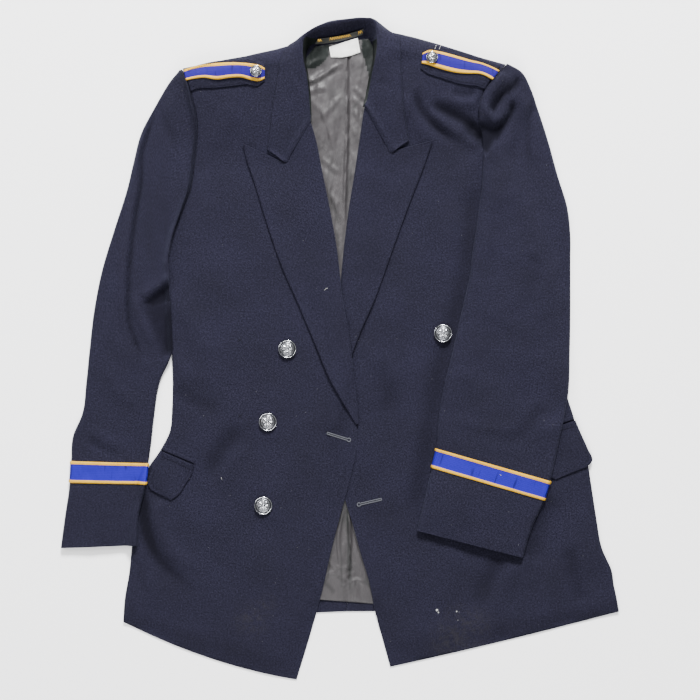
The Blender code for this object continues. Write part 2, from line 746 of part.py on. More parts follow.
def make_sleeve(name, armhole, rows, pieces, side, reach):
    # a tube pressed flat: each ring goes over the top and back along the underside
    columns = 11
    first = moved_out(spread(armhole, columns), EDGE_GAP, side)
    plan = [first]
    for row in rows:
        outer = (row.outer_x, row.outer_y)
        inner = (row.inner_x, row.inner_y)
        width = math.dist(outer, inner)
        plan.append([(mix(outer[0], inner[0], share), mix(outer[1], inner[1], share))
                     for share in ring_shares(width, SLEEVE_HEIGHT / 2.0)])
    rest_list = settle([point for line in plan[1:] for point in line], pieces, reach, 0.45)
    rests = [[0.0] * columns]
    for k in range(len(rows)):
        rests.append(rest_list[k * columns:(k + 1) * columns])
    lift_clear(plan, rests, pieces, around=0.0)
    outer_rings = []
    inner_rings = []
    for line, rest_line in zip(plan, rests):
        distances = [0.0]
        for a, b in zip(line, line[1:]):
            distances.append(distances[-1] + math.dist(a, b))
        width = distances[-1]
        tops = []
        for (x, y), rest in zip(line, rest_line):
            flat = rest + SLEEVE_HEIGHT + folds_at(SLEEVE_FOLDS, x, y)
            tops.append(max(flat, crown(y) + 0.6))
        over = []
        under = []
        over_hollow = []
        under_hollow = []
        for (x, y), rest, height, distance in zip(line, rest_line, tops, distances):
            half = (height - rest) / 2.0
            middle = rest + half
            radius = min(half, SLEEVE_HEIGHT / 2.0)
            side = min(distance, width - distance)
            swell = SLEEVE_PUFF * math.sin(math.pi * distance / width)
            over.append((x, y, middle + half * rounded(side / radius) + swell))
            under.append((x, y, middle - half * rounded(side / radius)))
        for distance in distances:
            inside = HOLLOW_INSET + (width - 2.0 * HOLLOW_INSET) * distance / width
            k = max(i for i, d in enumerate(distances) if d <= inside + 1e-9)
            k = min(k, len(distances) - 2)
            t = (inside - distances[k]) / (distances[k + 1] - distances[k])
            x = mix(line[k][0], line[k + 1][0], t)
            y = mix(line[k][1], line[k + 1][1], t)
            high = mix(tops[k], tops[k + 1], t)
            rest = mix(rest_line[k], rest_line[k + 1], t)
            middle = (high + rest) / 2.0
            side = min(inside, width - inside) - HOLLOW_INSET
            hollow = SLEEVE_HOLLOW / 2.0 * mix(0.15, 1.0, rounded(side / (SLEEVE_HOLLOW / 2.0)))
            over_hollow.append((x, y, middle + hollow))
            under_hollow.append((x, y, middle - hollow))
        outer_rings.append(over + under[1:-1][::-1])
        inner_rings.append(over_hollow + under_hollow[1:-1][::-1])
    tube(name, outer_rings, inner_rings[HOLLOW_FROM:], columns)
    return outer_rings, columns


def end_cap(base, count, columns):
    # closes a ring whose upper and lower points lie over each other
    faces = []
    for j in range(columns - 1):
        corners = (j, j + 1, (count - j - 1) % count, (count - j) % count)
        distinct = list(dict.fromkeys(corners))
        faces += [tuple(base + k for k in (distinct[0], *distinct[i:i + 2]))
                  for i in range(1, len(distinct) - 1)]
    return faces


def tube(name, outer_rings, inner_rings, columns):
    # closed at the armhole and open at the cuff
    count = len(outer_rings[0])
    points = [point for ring in outer_rings for point in ring]
    inside = len(points)
    points += [point for ring in inner_rings for point in ring]
    faces = []
    for base, rings, inward in ((0, len(outer_rings), False), (inside, len(inner_rings), True)):
        for i in range(rings - 1):
            for j in range(count):
                a = base + i * count + j
                b = base + i * count + (j + 1) % count
                sides = [(a, b, b + count), (a, b + count, a + count)]
                faces += [side[::-1] for side in sides] if inward else sides
    faces += [face[::-1] for face in end_cap(0, count, columns)]
    faces += end_cap(inside, count, columns)
    outer_mouth = (len(outer_rings) - 1) * count
    inner_mouth = inside + (len(inner_rings) - 1) * count
    for j in range(count):
        k = (j + 1) % count
        faces += [(outer_mouth + j, outer_mouth + k, inner_mouth + k),
                  (outer_mouth + j, inner_mouth + k, inner_mouth + j)]
    # turn every face if the rings run the other way round
    ring = outer_rings[0]
    following = outer_rings[1]
    across = Vector(ring[5]) - Vector(ring[4])
    along = Vector(following[4]) - Vector(ring[4])
    if across.cross(along).z < 0.0:
        faces = [face[::-1] for face in faces]
    finish_piece(name, points, faces, NAVY, 0.9)


def make_cuff_braid(name, sleeve, rings, columns):
    # a strip over the sleeve's upper side, from fold to fold
    plan = [[(x, y) for x, y, z in ring[1:columns - 1]]
            for ring in rings[BRAID_ROWS[0]:BRAID_ROWS[1] + 1]]
    lay_patch(name, plan, [sleeve], RIBBON, BRAID_BLUE, 0.6, 0.0, 5.0)


def make_button(name, x, y, size, pieces):
    # a domed, rimmed button on a short shank
    radius = size / 2.0
    profile = [(0.26, 0.0), (0.26, 0.9), (0.92, 1.5), (1.0, 2.5), (0.93, 3.6), (0.8, 3.5),
               (0.62, 4.6), (0.3, 5.6)]
    shank = [(0.0, 0.0)] + [(radius * profile[0][0] * math.cos(turn), radius * profile[0][0]
             * math.sin(turn)) for turn in (0.0, 1.05, 2.1, 3.14, 4.2, 5.25)]
    rest = max(surface_under(pieces, x + dx, y + dy) for dx, dy in shank) + GAP
    points = [(x, y, rest)]
    for share, level in profile:
        for k in range(BUTTON_SIDES):
            turn = 2.0 * math.pi * k / BUTTON_SIDES
            points.append((x + radius * share * math.cos(turn),
                           y + radius * share * math.sin(turn), rest + level))
    points.append((x, y, rest + 5.9))
    faces = []
    for k in range(BUTTON_SIDES):
        following = (k + 1) % BUTTON_SIDES
        faces.append((0, 1 + following, 1 + k))
        for i in range(len(profile) - 1):
            a = 1 + i * BUTTON_SIDES
            faces.append((a + k, a + following, a + BUTTON_SIDES + following, a + BUTTON_SIDES + k))
        last = 1 + (len(profile) - 1) * BUTTON_SIDES
        faces.append((last + k, last + following, len(points) - 1))
    finish_piece(name, points, faces, CHROME, 0.18, 1.0)


def build_jacket():
    make_back("back_right", FRONT_RIGHT, SHOULDER_RIGHT, NECK_RIGHT)
    make_back("back_left", FRONT_LEFT, SHOULDER_LEFT, NECK_LEFT)
    backs = ["back_right", "back_left"]
    make_patch("back_lining", BACK_LINING, backs, 6, LINING, LINING_GREY, 0.45, reach=1.0)
    ground = backs + ["back_lining"]
    make_front("front_left", FRONT_LEFT, ground)
    make_lapel("lapel_left", LAPEL_LEFT, ground + ["front_left"])
    left = ground + ["front_left", "lapel_left"]
    make_front("front_right", FRONT_RIGHT, left)
    make_lapel("lapel_right", LAPEL_RIGHT, left + ["front_right"])
    body = left + ["front_right"]
    make_collar(body)
    make_patch("flap_right", FLAP_RIGHT, ["front_right"], 5, 2.2, NAVY, reach=4.0, slope=0.25)
    make_patch("welt_right", WELT_RIGHT, ["front_right"], 4, 1.2, NAVY, reach=2.0)
    make_patch("flap_left", FLAP_LEFT, ["front_left"], 5, 2.2, NAVY, reach=4.0, slope=0.25)
    make_patch("welt_left", WELT_LEFT, ["front_left"], 4, 1.2, NAVY, reach=2.0)
    right_ground = ["back_right", "front_right", "flap_right", "welt_right"]
    left_ground = ["back_left", "front_left", "flap_left", "welt_left"]
    rings, columns = make_sleeve("sleeve_right", ARMHOLE_RIGHT, SLEEVE_RIGHT, right_ground,
                                 -1.0, 0.0)
    make_cuff_braid("cuff_braid_right", "sleeve_right", rings, columns)
    rings, columns = make_sleeve("sleeve_left", ARMHOLE_LEFT, SLEEVE_LEFT, left_ground,
                                 1.0, 10.0)
    make_cuff_braid("cuff_braid_left", "sleeve_left", rings, columns)
    make_patch("strap_right", STRAP_RIGHT, ["front_right", "back_right"], 5, 1.8, NAVY,
               reach=3.0, slope=0.9)
    make_patch("strap_left", STRAP_LEFT, ["front_left", "back_left"], 5, 1.8, NAVY,
               reach=3.0, slope=0.9)
    make_patch("ribbon_right", RIBBON_RIGHT, ["strap_right"], 3, RIBBON, BRAID_BLUE, 0.6,
               reach=2.0, slope=0.9)
    make_patch("ribbon_left", RIBBON_LEFT, ["strap_left"], 3, RIBBON, BRAID_BLUE, 0.6,
               reach=2.0, slope=0.9)
    neck = ground + ["collar"]
    make_patch("brand_label", BRAND_LABEL, neck, 2, LABEL, LABEL_BLACK, 0.7, reach=6.0,
               across_rows=3)
    make_patch("care_label", CARE_LABEL, neck, 3, LABEL, LABEL_WHITE, 0.5, reach=6.0,
               across_rows=2)
    for name, x, y in BUTTONS:
        make_button(name, x, y, BUTTON_SIZE, ["front_right"])
    for name, x, y in LEFT_BUTTONS:
        make_button(name, x, y, BUTTON_SIZE, ["front_left"])
    for name, x, y in STRAP_BUTTONS:
        make_button(name, x, y, STRAP_BUTTON_SIZE, ["ribbon_right", "ribbon_left"])


for old in list(bpy.data.objects):
    bpy.data.objects.remove(old, do_unlink=True)
build_jacket()
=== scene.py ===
import math

import bpy
import numpy as np
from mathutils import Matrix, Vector


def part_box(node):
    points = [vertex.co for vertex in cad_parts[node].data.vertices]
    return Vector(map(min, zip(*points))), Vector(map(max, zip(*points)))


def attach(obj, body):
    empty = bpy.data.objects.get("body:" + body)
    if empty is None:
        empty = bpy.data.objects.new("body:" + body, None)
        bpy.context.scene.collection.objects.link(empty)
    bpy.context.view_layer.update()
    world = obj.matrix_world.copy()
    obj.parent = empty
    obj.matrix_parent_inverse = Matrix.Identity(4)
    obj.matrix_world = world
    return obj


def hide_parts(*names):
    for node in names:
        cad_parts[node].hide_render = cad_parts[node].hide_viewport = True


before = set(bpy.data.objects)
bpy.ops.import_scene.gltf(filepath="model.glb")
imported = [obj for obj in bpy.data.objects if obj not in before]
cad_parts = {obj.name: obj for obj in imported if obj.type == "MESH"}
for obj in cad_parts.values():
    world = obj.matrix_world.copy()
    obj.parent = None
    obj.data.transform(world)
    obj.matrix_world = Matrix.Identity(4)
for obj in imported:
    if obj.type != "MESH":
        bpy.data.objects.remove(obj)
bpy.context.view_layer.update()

# A dress jacket laid flat on its back. X runs to the wearer's left, Y to the collar, Z up.
# Lengths are in millimetres until a mesh is made.
metres = 0.001

# shape of the cloth: numbers shared by every piece

body = {"crown": 7.0, "shoulder": 13.0, "riseFrom": 235.0, "riseTo": 365.0, "cloth": 1.8,
        "backCloth": 1.6, "gap": 0.35, "sideRadius": 8.0, "rowStep": 4.5, "hem": -350.0,
        "centreBack": 9.0}


def mix(a, b, t):
    return a + (b - a) * t


def ease(t):
    t = np.clip(t, 0.0, 1.0)
    return t * t * (3.0 - 2.0 * t)


def rounded(t):
    t = np.clip(t, 0.0, 1.0)
    return np.sqrt(1.0 - (1.0 - t) ** 2)


def bodyTop(y):
    return body["crown"] + body["shoulder"] * ease((y - body["riseFrom"])
                                                   / (body["riseTo"] - body["riseFrom"]))


def curveThrough(values, at, wanted):
    # a smooth curve through rows of numbers that stand at these places
    values = np.asarray(values, float)
    slopes = np.gradient(values, at, axis=0)
    k = np.clip(np.searchsorted(at, wanted, side="right") - 1, 0, len(at) - 2)
    gap = (at[k + 1] - at[k]).reshape(-1, *([1] * (values.ndim - 1)))
    t = ((wanted - at[k]) / (at[k + 1] - at[k])).reshape(gap.shape)
    return (values[k] * (1 + 2 * t) * (1 - t) ** 2 + slopes[k] * gap * t * (1 - t) ** 2
            + values[k + 1] * t * t * (3 - 2 * t) + slopes[k + 1] * gap * t * t * (t - 1))


def smoothRows(rows, step, pairs=None):
    # more rows, about step apart, on smooth curves through the given ones
    table = np.array(rows, float)
    pairs = pairs or table.shape[1] // 2
    moves = np.diff(table[:, :2 * pairs], axis=0).reshape(len(table) - 1, -1, 2)
    lengths = np.hypot(moves[..., 0], moves[..., 1]).mean(axis=1)
    at = np.concatenate([[0.0], np.cumsum(lengths)])
    wanted = np.linspace(0.0, at[-1], max(2, int(round(at[-1] / step)) + 1))
    return curveThrough(table, at, wanted)


def smoothLine(points, step):
    return smoothRows(points, step, 1)


def planOf(rows, shares):
    # plan points between the two ends of each row
    return mix(rows[:, 0:1], rows[:, 2:3], shares), mix(rows[:, 1:2], rows[:, 3:4], shares)


def lineAt(line, shares):
    # points at these shares of a line's length
    line = np.array(line, float)
    at = np.concatenate([[0.0], np.cumsum(np.hypot(*np.diff(line, axis=0).T))])
    return np.stack([np.interp(shares * at[-1], at, line[:, k]) for k in (0, 1)], -1)


def runAcross(x, y):
    # how far each point of a row lies from the row's start
    steps = np.hypot(np.diff(x, axis=1), np.diff(y, axis=1))
    return np.concatenate([np.zeros((len(x), 1)), np.cumsum(steps, axis=1)], 1)


def cordShape(border):
    # half round where border runs from 0 to 1, and nothing past it
    return np.where(border < 1.0, np.sqrt(np.clip(1.0 - (2.0 * border - 1.0) ** 2, 0.0, 1.0)), 0.0)


def ripple(x, y, size, seed, waves=9, stretch=(1.0, 1.0)):
    # a soft uneven surface with bumps about this far apart, between about -1 and 1
    draw = np.random.default_rng(seed)
    total = np.zeros_like(x)
    for _ in range(waves):
        turn = draw.uniform(0.0, 2.0 * math.pi)
        pace = 2.0 * math.pi / (size * draw.uniform(0.7, 1.6))
        total += np.sin(pace * (x * math.cos(turn) / stretch[0] + y * math.sin(turn) / stretch[1])
                        + draw.uniform(0.0, 2.0 * math.pi))
    return total / math.sqrt(waves) / 1.4


def alongLine(line, x, y):
    # distance to a line, positive on its left, and how far along it as a share
    best = np.full(x.shape, 1e9)
    share = np.zeros(x.shape)
    sizes = np.hypot(*np.diff(line, axis=0).T)
    whole = sizes.sum()
    start = 0.0
    for (ax, ay), (bx, by), size in zip(line[:-1], line[1:], sizes):
        dx, dy = (bx - ax) / size, (by - ay) / size
        t = np.clip((x - ax) * dx + (y - ay) * dy, 0.0, size)
        away = np.hypot(x - ax - dx * t, y - ay - dy * t)
        side = np.where(dx * (y - ay) - dy * (x - ax) >= 0.0, 1.0, -1.0)
        nearer = away < np.abs(best)
        best = np.where(nearer, away * side, best)
        share = np.where(nearer, (start + t) / whole, share)
        start += size
    return best, share


def creaseHeights(creases, x, y, strength=1.0):
    # each crease: its line, height, width, lean (a step to its left) and how it fades at each end
    total = np.zeros(x.shape)
    for points, height, width, lean, fadeIn, fadeOut in creases:
        away, share = alongLine(smoothLine(points, 8.0), x, y)
        d = away / width
        fade = ease(share / max(fadeIn, 0.01)) * ease((1.0 - share) / max(fadeOut, 0.01))
        total += height * fade * np.exp(-d * d) * (1.0 - abs(lean) + lean * 2.3 * d)
    return total * strength


def insideHeights(hollows, x, y):
    # a sunken or raised patch: its outline, height and how soft its border is
    total = np.zeros(x.shape)
    for outline, height, soft in hollows:
        ring = np.array(outline + outline[:1], float)
        away, _ = alongLine(ring, x, y)
        inside = np.zeros(x.shape, bool)
        for (ax, ay), (bx, by) in zip(ring[:-1], ring[1:]):
            if ay != by:
                crosses = ((ay > y) != (by > y)) & (x < (bx - ax) * (y - ay) / (by - ay) + ax)
                inside ^= crosses
        depth = np.where(inside, np.abs(away), -np.abs(away))
        total += height * ease((depth / soft + 0.35) / 1.35)
    return total


# the stack: how high the jacket lies at every spot so far

field = {"cell": 2.0, "left": -430.0, "low": -500.0, "columns": 430, "rows": 500}
ground = np.zeros((field["rows"], field["columns"]))


def cellPlace(x, y):
    return (x - field["left"]) / field["cell"], (y - field["low"]) / field["cell"]


def sample(surface, x, y):
    u, v = cellPlace(x, y)
    i = np.clip(v.astype(int), 0, field["rows"] - 2)
    j = np.clip(u.astype(int), 0, field["columns"] - 2)
    s, t = u - j, v - i
    return (surface[i, j] * (1 - s) * (1 - t) + surface[i, j + 1] * s * (1 - t)
            + surface[i + 1, j] * (1 - s) * t + surface[i + 1, j + 1] * s * t)


def finer(grid, parts):
    for axis in (0, 1):
        grid = np.moveaxis(grid, axis, 0)
        at = np.linspace(0, len(grid) - 1, (len(grid) - 1) * parts + 1)
        i = np.minimum(at.astype(int), len(grid) - 2)
        t = (at - i).reshape(-1, *([1] * (grid.ndim - 1)))
        grid = np.moveaxis(grid[i] * (1 - t) + grid[i + 1] * t, 0, axis)
    return grid


def stamp(surface, x, y, z):
    # the piece becomes part of what the next one lies on
    u, v = cellPlace(finer(x, 5), finer(y, 5))
    i = np.clip(np.rint(v).astype(int), 0, field["rows"] - 1)
    j = np.clip(np.rint(u).astype(int), 0, field["columns"] - 1)
    np.maximum.at(surface, (i.ravel(), j.ravel()), finer(z, 5).ravel())


def bridged(surface, slope, reach):
    # cloth bridges the steps under it: nowhere steeper than slope
    cell = field["cell"]
    out = surface.copy()
    for dy in (-1, 0, 1):
        for dx in (-1, 0, 1):
            out = np.maximum(out, np.roll(surface, (dy, dx), (0, 1)))
    for _ in range(int(reach / cell)):
        for dy, dx in ((0, 1), (0, -1), (1, 0), (-1, 0), (1, 1), (1, -1), (-1, 1), (-1, -1)):
            drop = slope * cell * math.hypot(dx, dy)
            out = np.maximum(out, np.roll(out, (dy, dx), (0, 1)) - drop)
    calm = out
    for axis in (0, 1):
        calm = (np.roll(calm, 1, axis) + 2 * calm + np.roll(calm, -1, axis)) / 4
    return calm


def restOn(surface, x, y, slope=0.4, reach=30.0):
    height = sample(bridged(surface, slope, reach), x, y)
    return np.where(height > 0.02, height + body["gap"], 0.0)


# meshes: closed cloth walls with their cut as UV, and their wear and their painted shade as one
# attribute

sheetShape = {"sharp": 58.0, "rimHeight": 0.45, "rimShare": 0.45}


def rimOf(rows, columns):
    rim = [(0, j) for j in range(columns)]
    rim += [(i, columns - 1) for i in range(1, rows)]
    rim += [(rows - 1, j) for j in range(columns - 2, -1, -1)]
    return rim + [(i, 0) for i in range(rows - 2, 0, -1)]


def gridQuads(rows, columns):
    a = (np.arange(rows - 1)[:, None] * columns + np.arange(columns - 1)[None, :]).ravel()
    return np.stack([a, a + 1, a + columns + 1, a + columns], -1)


def addObject(name, data):
    item = bpy.data.objects.new(name, data)
    bpy.context.scene.collection.objects.link(item)
    return item


def makeMesh(name, points, faces, uv, wearAndShade, materials, faceMaterial=None):
    mesh = bpy.data.meshes.new(name)
    mesh.from_pydata([tuple(p) for p in np.asarray(points) * metres], [], faces)
    layer = mesh.uv_layers.new(name="Cut")
    corner = np.zeros(len(mesh.loops), int)
    mesh.loops.foreach_get("vertex_index", corner)
    layer.data.foreach_set("uv", (np.asarray(uv)[corner] * metres).ravel())
    edge = mesh.attributes.new("wearAndShade", "FLOAT", "POINT")
    edge.data.foreach_set("value", np.asarray(wearAndShade, float))
    for material in materials:
        mesh.materials.append(material)
    if faceMaterial is not None:
        mesh.polygons.foreach_set("material_index", np.asarray(faceMaterial, int))
    mesh.shade_smooth()
    mesh.set_sharp_from_angle(angle=math.radians(sheetShape["sharp"]))
    mesh.update()
    return addObject(name, mesh)


def sheetPiece(name, x, y, top, bottom, materials, grain=0.0, edge=0.5, pick=None, wearAndShade=None,
               paintedShade=None):
    # a closed cloth wall over a grid of plan points, its rim rounded by edge
    i, j = x.shape[0] // 2, x.shape[1] // 2
    turned = ((x[i, j + 1] - x[i, j]) * (y[i + 1, j] - y[i, j])
              - (y[i, j + 1] - y[i, j]) * (x[i + 1, j] - x[i, j]))
    if turned < 0:
        x, y, top, bottom = (v[:, ::-1] for v in (x, y, top, bottom))
        pick = None if pick is None else pick[:, ::-1]
        wearAndShade = None if wearAndShade is None else wearAndShade[:, ::-1]
        paintedShade = None if paintedShade is None else paintedShade[:, ::-1]
    rows, columns = x.shape
    inX, inY = x.copy(), y.copy()
    for axis in (0, 1):
        for here, near in ((0, 1), (-1, -2)):
            at = (here, slice(None)) if axis == 0 else (slice(None), here)
            inner = (near, slice(None)) if axis == 0 else (slice(None), near)
            size = np.hypot(x[inner] - x[at], y[inner] - y[at]) + 1e-6
            t = np.minimum(edge / size, sheetShape["rimShare"])
            inX[at] += (x[inner] - x[at]) * t
            inY[at] += (y[inner] - y[at]) * t
    rim = rimOf(rows, columns)
    ri = np.array([a for a, b in rim])
    rj = np.array([b for a, b in rim])
    upper = np.stack([inX, inY, top], -1).reshape(-1, 3)
    lower = np.stack([inX, inY, bottom], -1).reshape(-1, 3)
    middle = mix(bottom[ri, rj], top[ri, rj], sheetShape["rimHeight"])
    middleRim = np.stack([x[ri, rj], y[ri, rj], middle], -1)
    points = np.concatenate([upper, lower, middleRim])
    under, between = rows * columns, 2 * rows * columns
    quads = gridQuads(rows, columns)
    faces = quads.tolist() + (quads[:, ::-1] + under).tolist()
    flat = ri * columns + rj
    for k in range(len(rim)):
        n = (k + 1) % len(rim)
        faces.append((int(flat[n]), int(flat[k]), between + k, between + n))
        faces.append((between + n, between + k, under + int(flat[k]), under + int(flat[n])))
    if wearAndShade is None:
        fromEnd = np.minimum(np.arange(rows), np.arange(rows)[::-1])[:, None]
        fromSide = np.minimum(np.arange(columns), np.arange(columns)[::-1])[None, :]
        wearAndShade = np.exp(-np.minimum(fromEnd, fromSide).astype(float))
    # painted shade: the shade mask pulls the attribute below zero, where the cloth's colour turns
    # dark
    wearAndShade = (wearAndShade if paintedShade is None else mix(wearAndShade, -1.0, paintedShade)).ravel()
    wearAndShade = np.concatenate([wearAndShade, wearAndShade, wearAndShade[flat]])
    turn = math.radians(grain)
    uv = np.stack([points[:, 0] * math.cos(turn) + points[:, 1] * math.sin(turn),
                   -points[:, 0] * math.sin(turn) + points[:, 1] * math.cos(turn)], -1)
    chosen = None
    if pick is not None:
        cell = pick[:-1, :-1].ravel().tolist()
        rimPick = [int(pick[min(a, rows - 2), min(b, columns - 2)]) for a, b in rim]
        chosen = cell + cell + [m for m in rimPick for _ in (0, 1)]
    return makeMesh(name, points, faces, uv, wearAndShade, materials, chosen)


def settlePiece(piece, node):
    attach(piece, "root")
    for one in ([node] if isinstance(node, str) else node):
        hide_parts(one)
    return piece


# materials

def feed(tree, socket, value):
    if isinstance(value, bpy.types.NodeSocket):
        tree.links.new(value, socket)
    elif value is not None:
        socket.default_value = value


def maths(tree, operation, a, b=None, c=None, clamp=False):
    node = tree.nodes.new("ShaderNodeMath")
    node.operation = operation
    node.use_clamp = clamp
    for socket, value in zip(node.inputs, (a, b, c)):
        feed(tree, socket, value)
    return node.outputs[0]


def times(tree, a, b, clamp=False):
    return maths(tree, "MULTIPLY", a, b, clamp=clamp)


def plus(tree, a, b):
    return maths(tree, "ADD", a, b)


def vectorMaths(tree, operation, a, b=None):
    node = tree.nodes.new("ShaderNodeVectorMath")
    node.operation = operation
    feed(tree, node.inputs[0], a)
    feed(tree, node.inputs[1], b)
    return node.outputs["Value" if operation in ("DISTANCE", "LENGTH") else "Vector"]


def rangeOf(tree, value, low, high, newLow=0.0, newHigh=1.0):
    node = tree.nodes.new("ShaderNodeMapRange")
    node.clamp = True
    for key, one in (("Value", value), ("From Min", low), ("From Max", high),
                     ("To Min", newLow), ("To Max", newHigh)):
        feed(tree, node.inputs[key], one)
    return node.outputs["Result"]


def noiseOf(tree, vector, scale, detail=3.0, roughness=0.55):
    node = tree.nodes.new("ShaderNodeTexNoise")
    for key, one in (("Vector", vector), ("Scale", scale), ("Detail", detail),
                     ("Roughness", roughness)):
        feed(tree, node.inputs[key], one)
    return node.outputs["Fac"]


def mixColour(tree, share, a, b):
    node = tree.nodes.new("ShaderNodeMix")
    node.data_type = "RGBA"
    for socket, value in zip((node.inputs[0], *node.inputs[6:8]), (share, a, b)):
        feed(tree, socket, (*value, 1.0) if isinstance(value, tuple) else value)
    return node.outputs[2]


def stretched(tree, vector, u, v):
    return vectorMaths(tree, "MULTIPLY", vector, (u, v, 1.0))


def wearAndShadeOf(tree):
    node = tree.nodes.new("ShaderNodeAttribute")
    node.attribute_name = "wearAndShade"
    return node.outputs["Fac"]


def newGroup(name, inputs, outputs):
    tree = bpy.data.node_groups.new(name, "ShaderNodeTree")
    for label, kind, value in inputs:
        socket = tree.interface.new_socket(name=label, in_out="INPUT", socket_type=kind)
        if value is not None:
            socket.default_value = value
    for label, kind in outputs:
        tree.interface.new_socket(name=label, in_out="OUTPUT", socket_type=kind)
    return tree, tree.nodes.new("NodeGroupInput").outputs, tree.nodes.new("NodeGroupOutput").inputs


numberKind, vectorKind = "NodeSocketFloat", "NodeSocketVector"


def buildTwill():
    # fine diagonal weave with uneven yarns; Threads is per metre
    tree, given, made = newGroup("twillWeave", [("Cloth", vectorKind, None),
                                                ("Threads", numberKind, 1100.0)],
                                 [("Height", numberKind), ("Fleck", numberKind)])
    split = tree.nodes.new("ShaderNodeSeparateXYZ")
    tree.links.new(given["Cloth"], split.inputs[0])
    u = times(tree, split.outputs[0], given["Threads"])
    v = times(tree, split.outputs[1], given["Threads"])
    wander = times(tree, noiseOf(tree, given["Cloth"], 260.0, 2.0), 2.4)
    slant = maths(tree, "SINE", plus(tree, times(tree, plus(tree, u, v), 1.57), wander))
    cross = maths(tree, "SINE", times(tree, v, 6.28))
    yarn = noiseOf(tree, given["Cloth"], 1500.0, 2.0, 0.7)
    weave = plus(tree, times(tree, cross, 0.12), times(tree, yarn, 0.9))
    tree.links.new(plus(tree, times(tree, slant, 0.3), weave), made["Height"])
    tree.links.new(rangeOf(tree, yarn, 0.42, 0.72), made["Fleck"])
    return tree


def buildNap():
    # uneven tone: broad patches, and streaks along the grain
    tree, given, made = newGroup("napTone", [("Cloth", vectorKind, None),
                                             ("Patch Size", numberKind, 0.06)],
                                 [("Tone", numberKind), ("Streak", numberKind)])
    perMetre = maths(tree, "DIVIDE", 1.0, given["Patch Size"])
    streaks = stretched(tree, given["Cloth"], 330.0, 40.0)
    tree.links.new(noiseOf(tree, given["Cloth"], perMetre, 4.0, 0.6), made["Tone"])
    tree.links.new(noiseOf(tree, streaks, 1.0, 3.0, 0.6), made["Streak"])
    return tree


def buildLint():
    # scattered pale fibres and specks
    tree, given, made = newGroup("lintSpecks", [("Cloth", vectorKind, None),
                                                ("Density", numberKind, 90.0),
                                                ("Size", numberKind, 0.05)],
                                 [("Speck", numberKind)])
    bent = vectorMaths(tree, "ADD", given["Cloth"],
                       vectorMaths(tree, "MULTIPLY", given["Cloth"], (0.0, 0.6, 0.0)))
    cells = tree.nodes.new("ShaderNodeTexVoronoi")
    feed(tree, cells.inputs["Vector"], bent)
    feed(tree, cells.inputs["Scale"], given["Density"])
    chosen = tree.nodes.new("ShaderNodeSeparateColor")
    tree.links.new(cells.outputs["Color"], chosen.inputs[0])
    dot = maths(tree, "LESS_THAN", cells.outputs["Distance"], given["Size"])
    few = maths(tree, "GREATER_THAN", chosen.outputs[0], 0.72)
    tree.links.new(times(tree, dot, few), made["Speck"])
    return tree


def buildRubbed():
    # a soft-edged stain or rubbed place round a centre
    tree, given, made = newGroup("rubbedPlace", [("Place", vectorKind, None),
                                                 ("Centre", vectorKind, (0.0, 0.0, 0.0)),
                                                 ("Reach", numberKind, 0.02)],
                                 [("Mask", numberKind)])
    flat = vectorMaths(tree, "MULTIPLY", given["Place"], (1.0, 1.0, 0.0))
    away = vectorMaths(tree, "DISTANCE", flat, given["Centre"])
    near = maths(tree, "SUBTRACT", 1.0, maths(tree, "DIVIDE", away, given["Reach"]), clamp=True)
    broken = rangeOf(tree, noiseOf(tree, given["Place"], 130.0, 5.0, 0.7), 0.4, 0.68)
    tree.links.new(times(tree, near, broken), made["Mask"])
    return tree


twillWeave, napTone = buildTwill(), buildNap()
lintSpecks, rubbedPlace = buildLint(), buildRubbed()


def useGroup(tree, group, **values):
    node = tree.nodes.new("ShaderNodeGroup")
    node.node_tree = group
    for key, value in values.items():
        feed(tree, node.inputs[key.replace("_", " ")], value)
    return node.outputs


def newMaterial(name, roughness, metallic=0.0, sheen=0.0, sheenTint=(1.0, 1.0, 1.0),
                specular=0.5, preview=(0.05, 0.05, 0.08)):
    material = bpy.data.materials.new(name)
    material.use_nodes = True
    tree = material.node_tree
    shader = tree.nodes["Principled BSDF"]
    shader.inputs["Roughness"].default_value = roughness
    shader.inputs["Metallic"].default_value = metallic
    shader.inputs["Sheen Weight"].default_value = sheen
    shader.inputs["Sheen Roughness"].default_value = 0.45
    shader.inputs["Sheen Tint"].default_value = (*sheenTint, 1.0)
    shader.inputs["Specular IOR Level"].default_value = specular
    material.diffuse_color = (*preview, 1.0)
    cut = tree.nodes.new("ShaderNodeUVMap")
    cut.uv_map = "Cut"
    return material, tree, shader, cut.outputs["UV"]


def bumpFrom(tree, shader, height, strength, distance):
    bump = tree.nodes.new("ShaderNodeBump")
    bump.inputs["Strength"].default_value = strength
    bump.inputs["Distance"].default_value = distance
    feed(tree, bump.inputs["Height"], height)
    tree.links.new(bump.outputs["Normal"], shader.inputs["Normal"])


wool = {"dark": (0.0048, 0.0046, 0.0098), "light": (0.0102, 0.0097, 0.0200),
        "pit": (0.0028, 0.0027, 0.0062), "fleck": (0.026, 0.025, 0.043),
        "lint": (0.20, 0.20, 0.20), "worn": (0.018, 0.0175, 0.028),
        "stain": (0.026, 0.024, 0.023), "speck": (0.50, 0.50, 0.49),
        "sunk": (0.0012, 0.0011, 0.0030)}


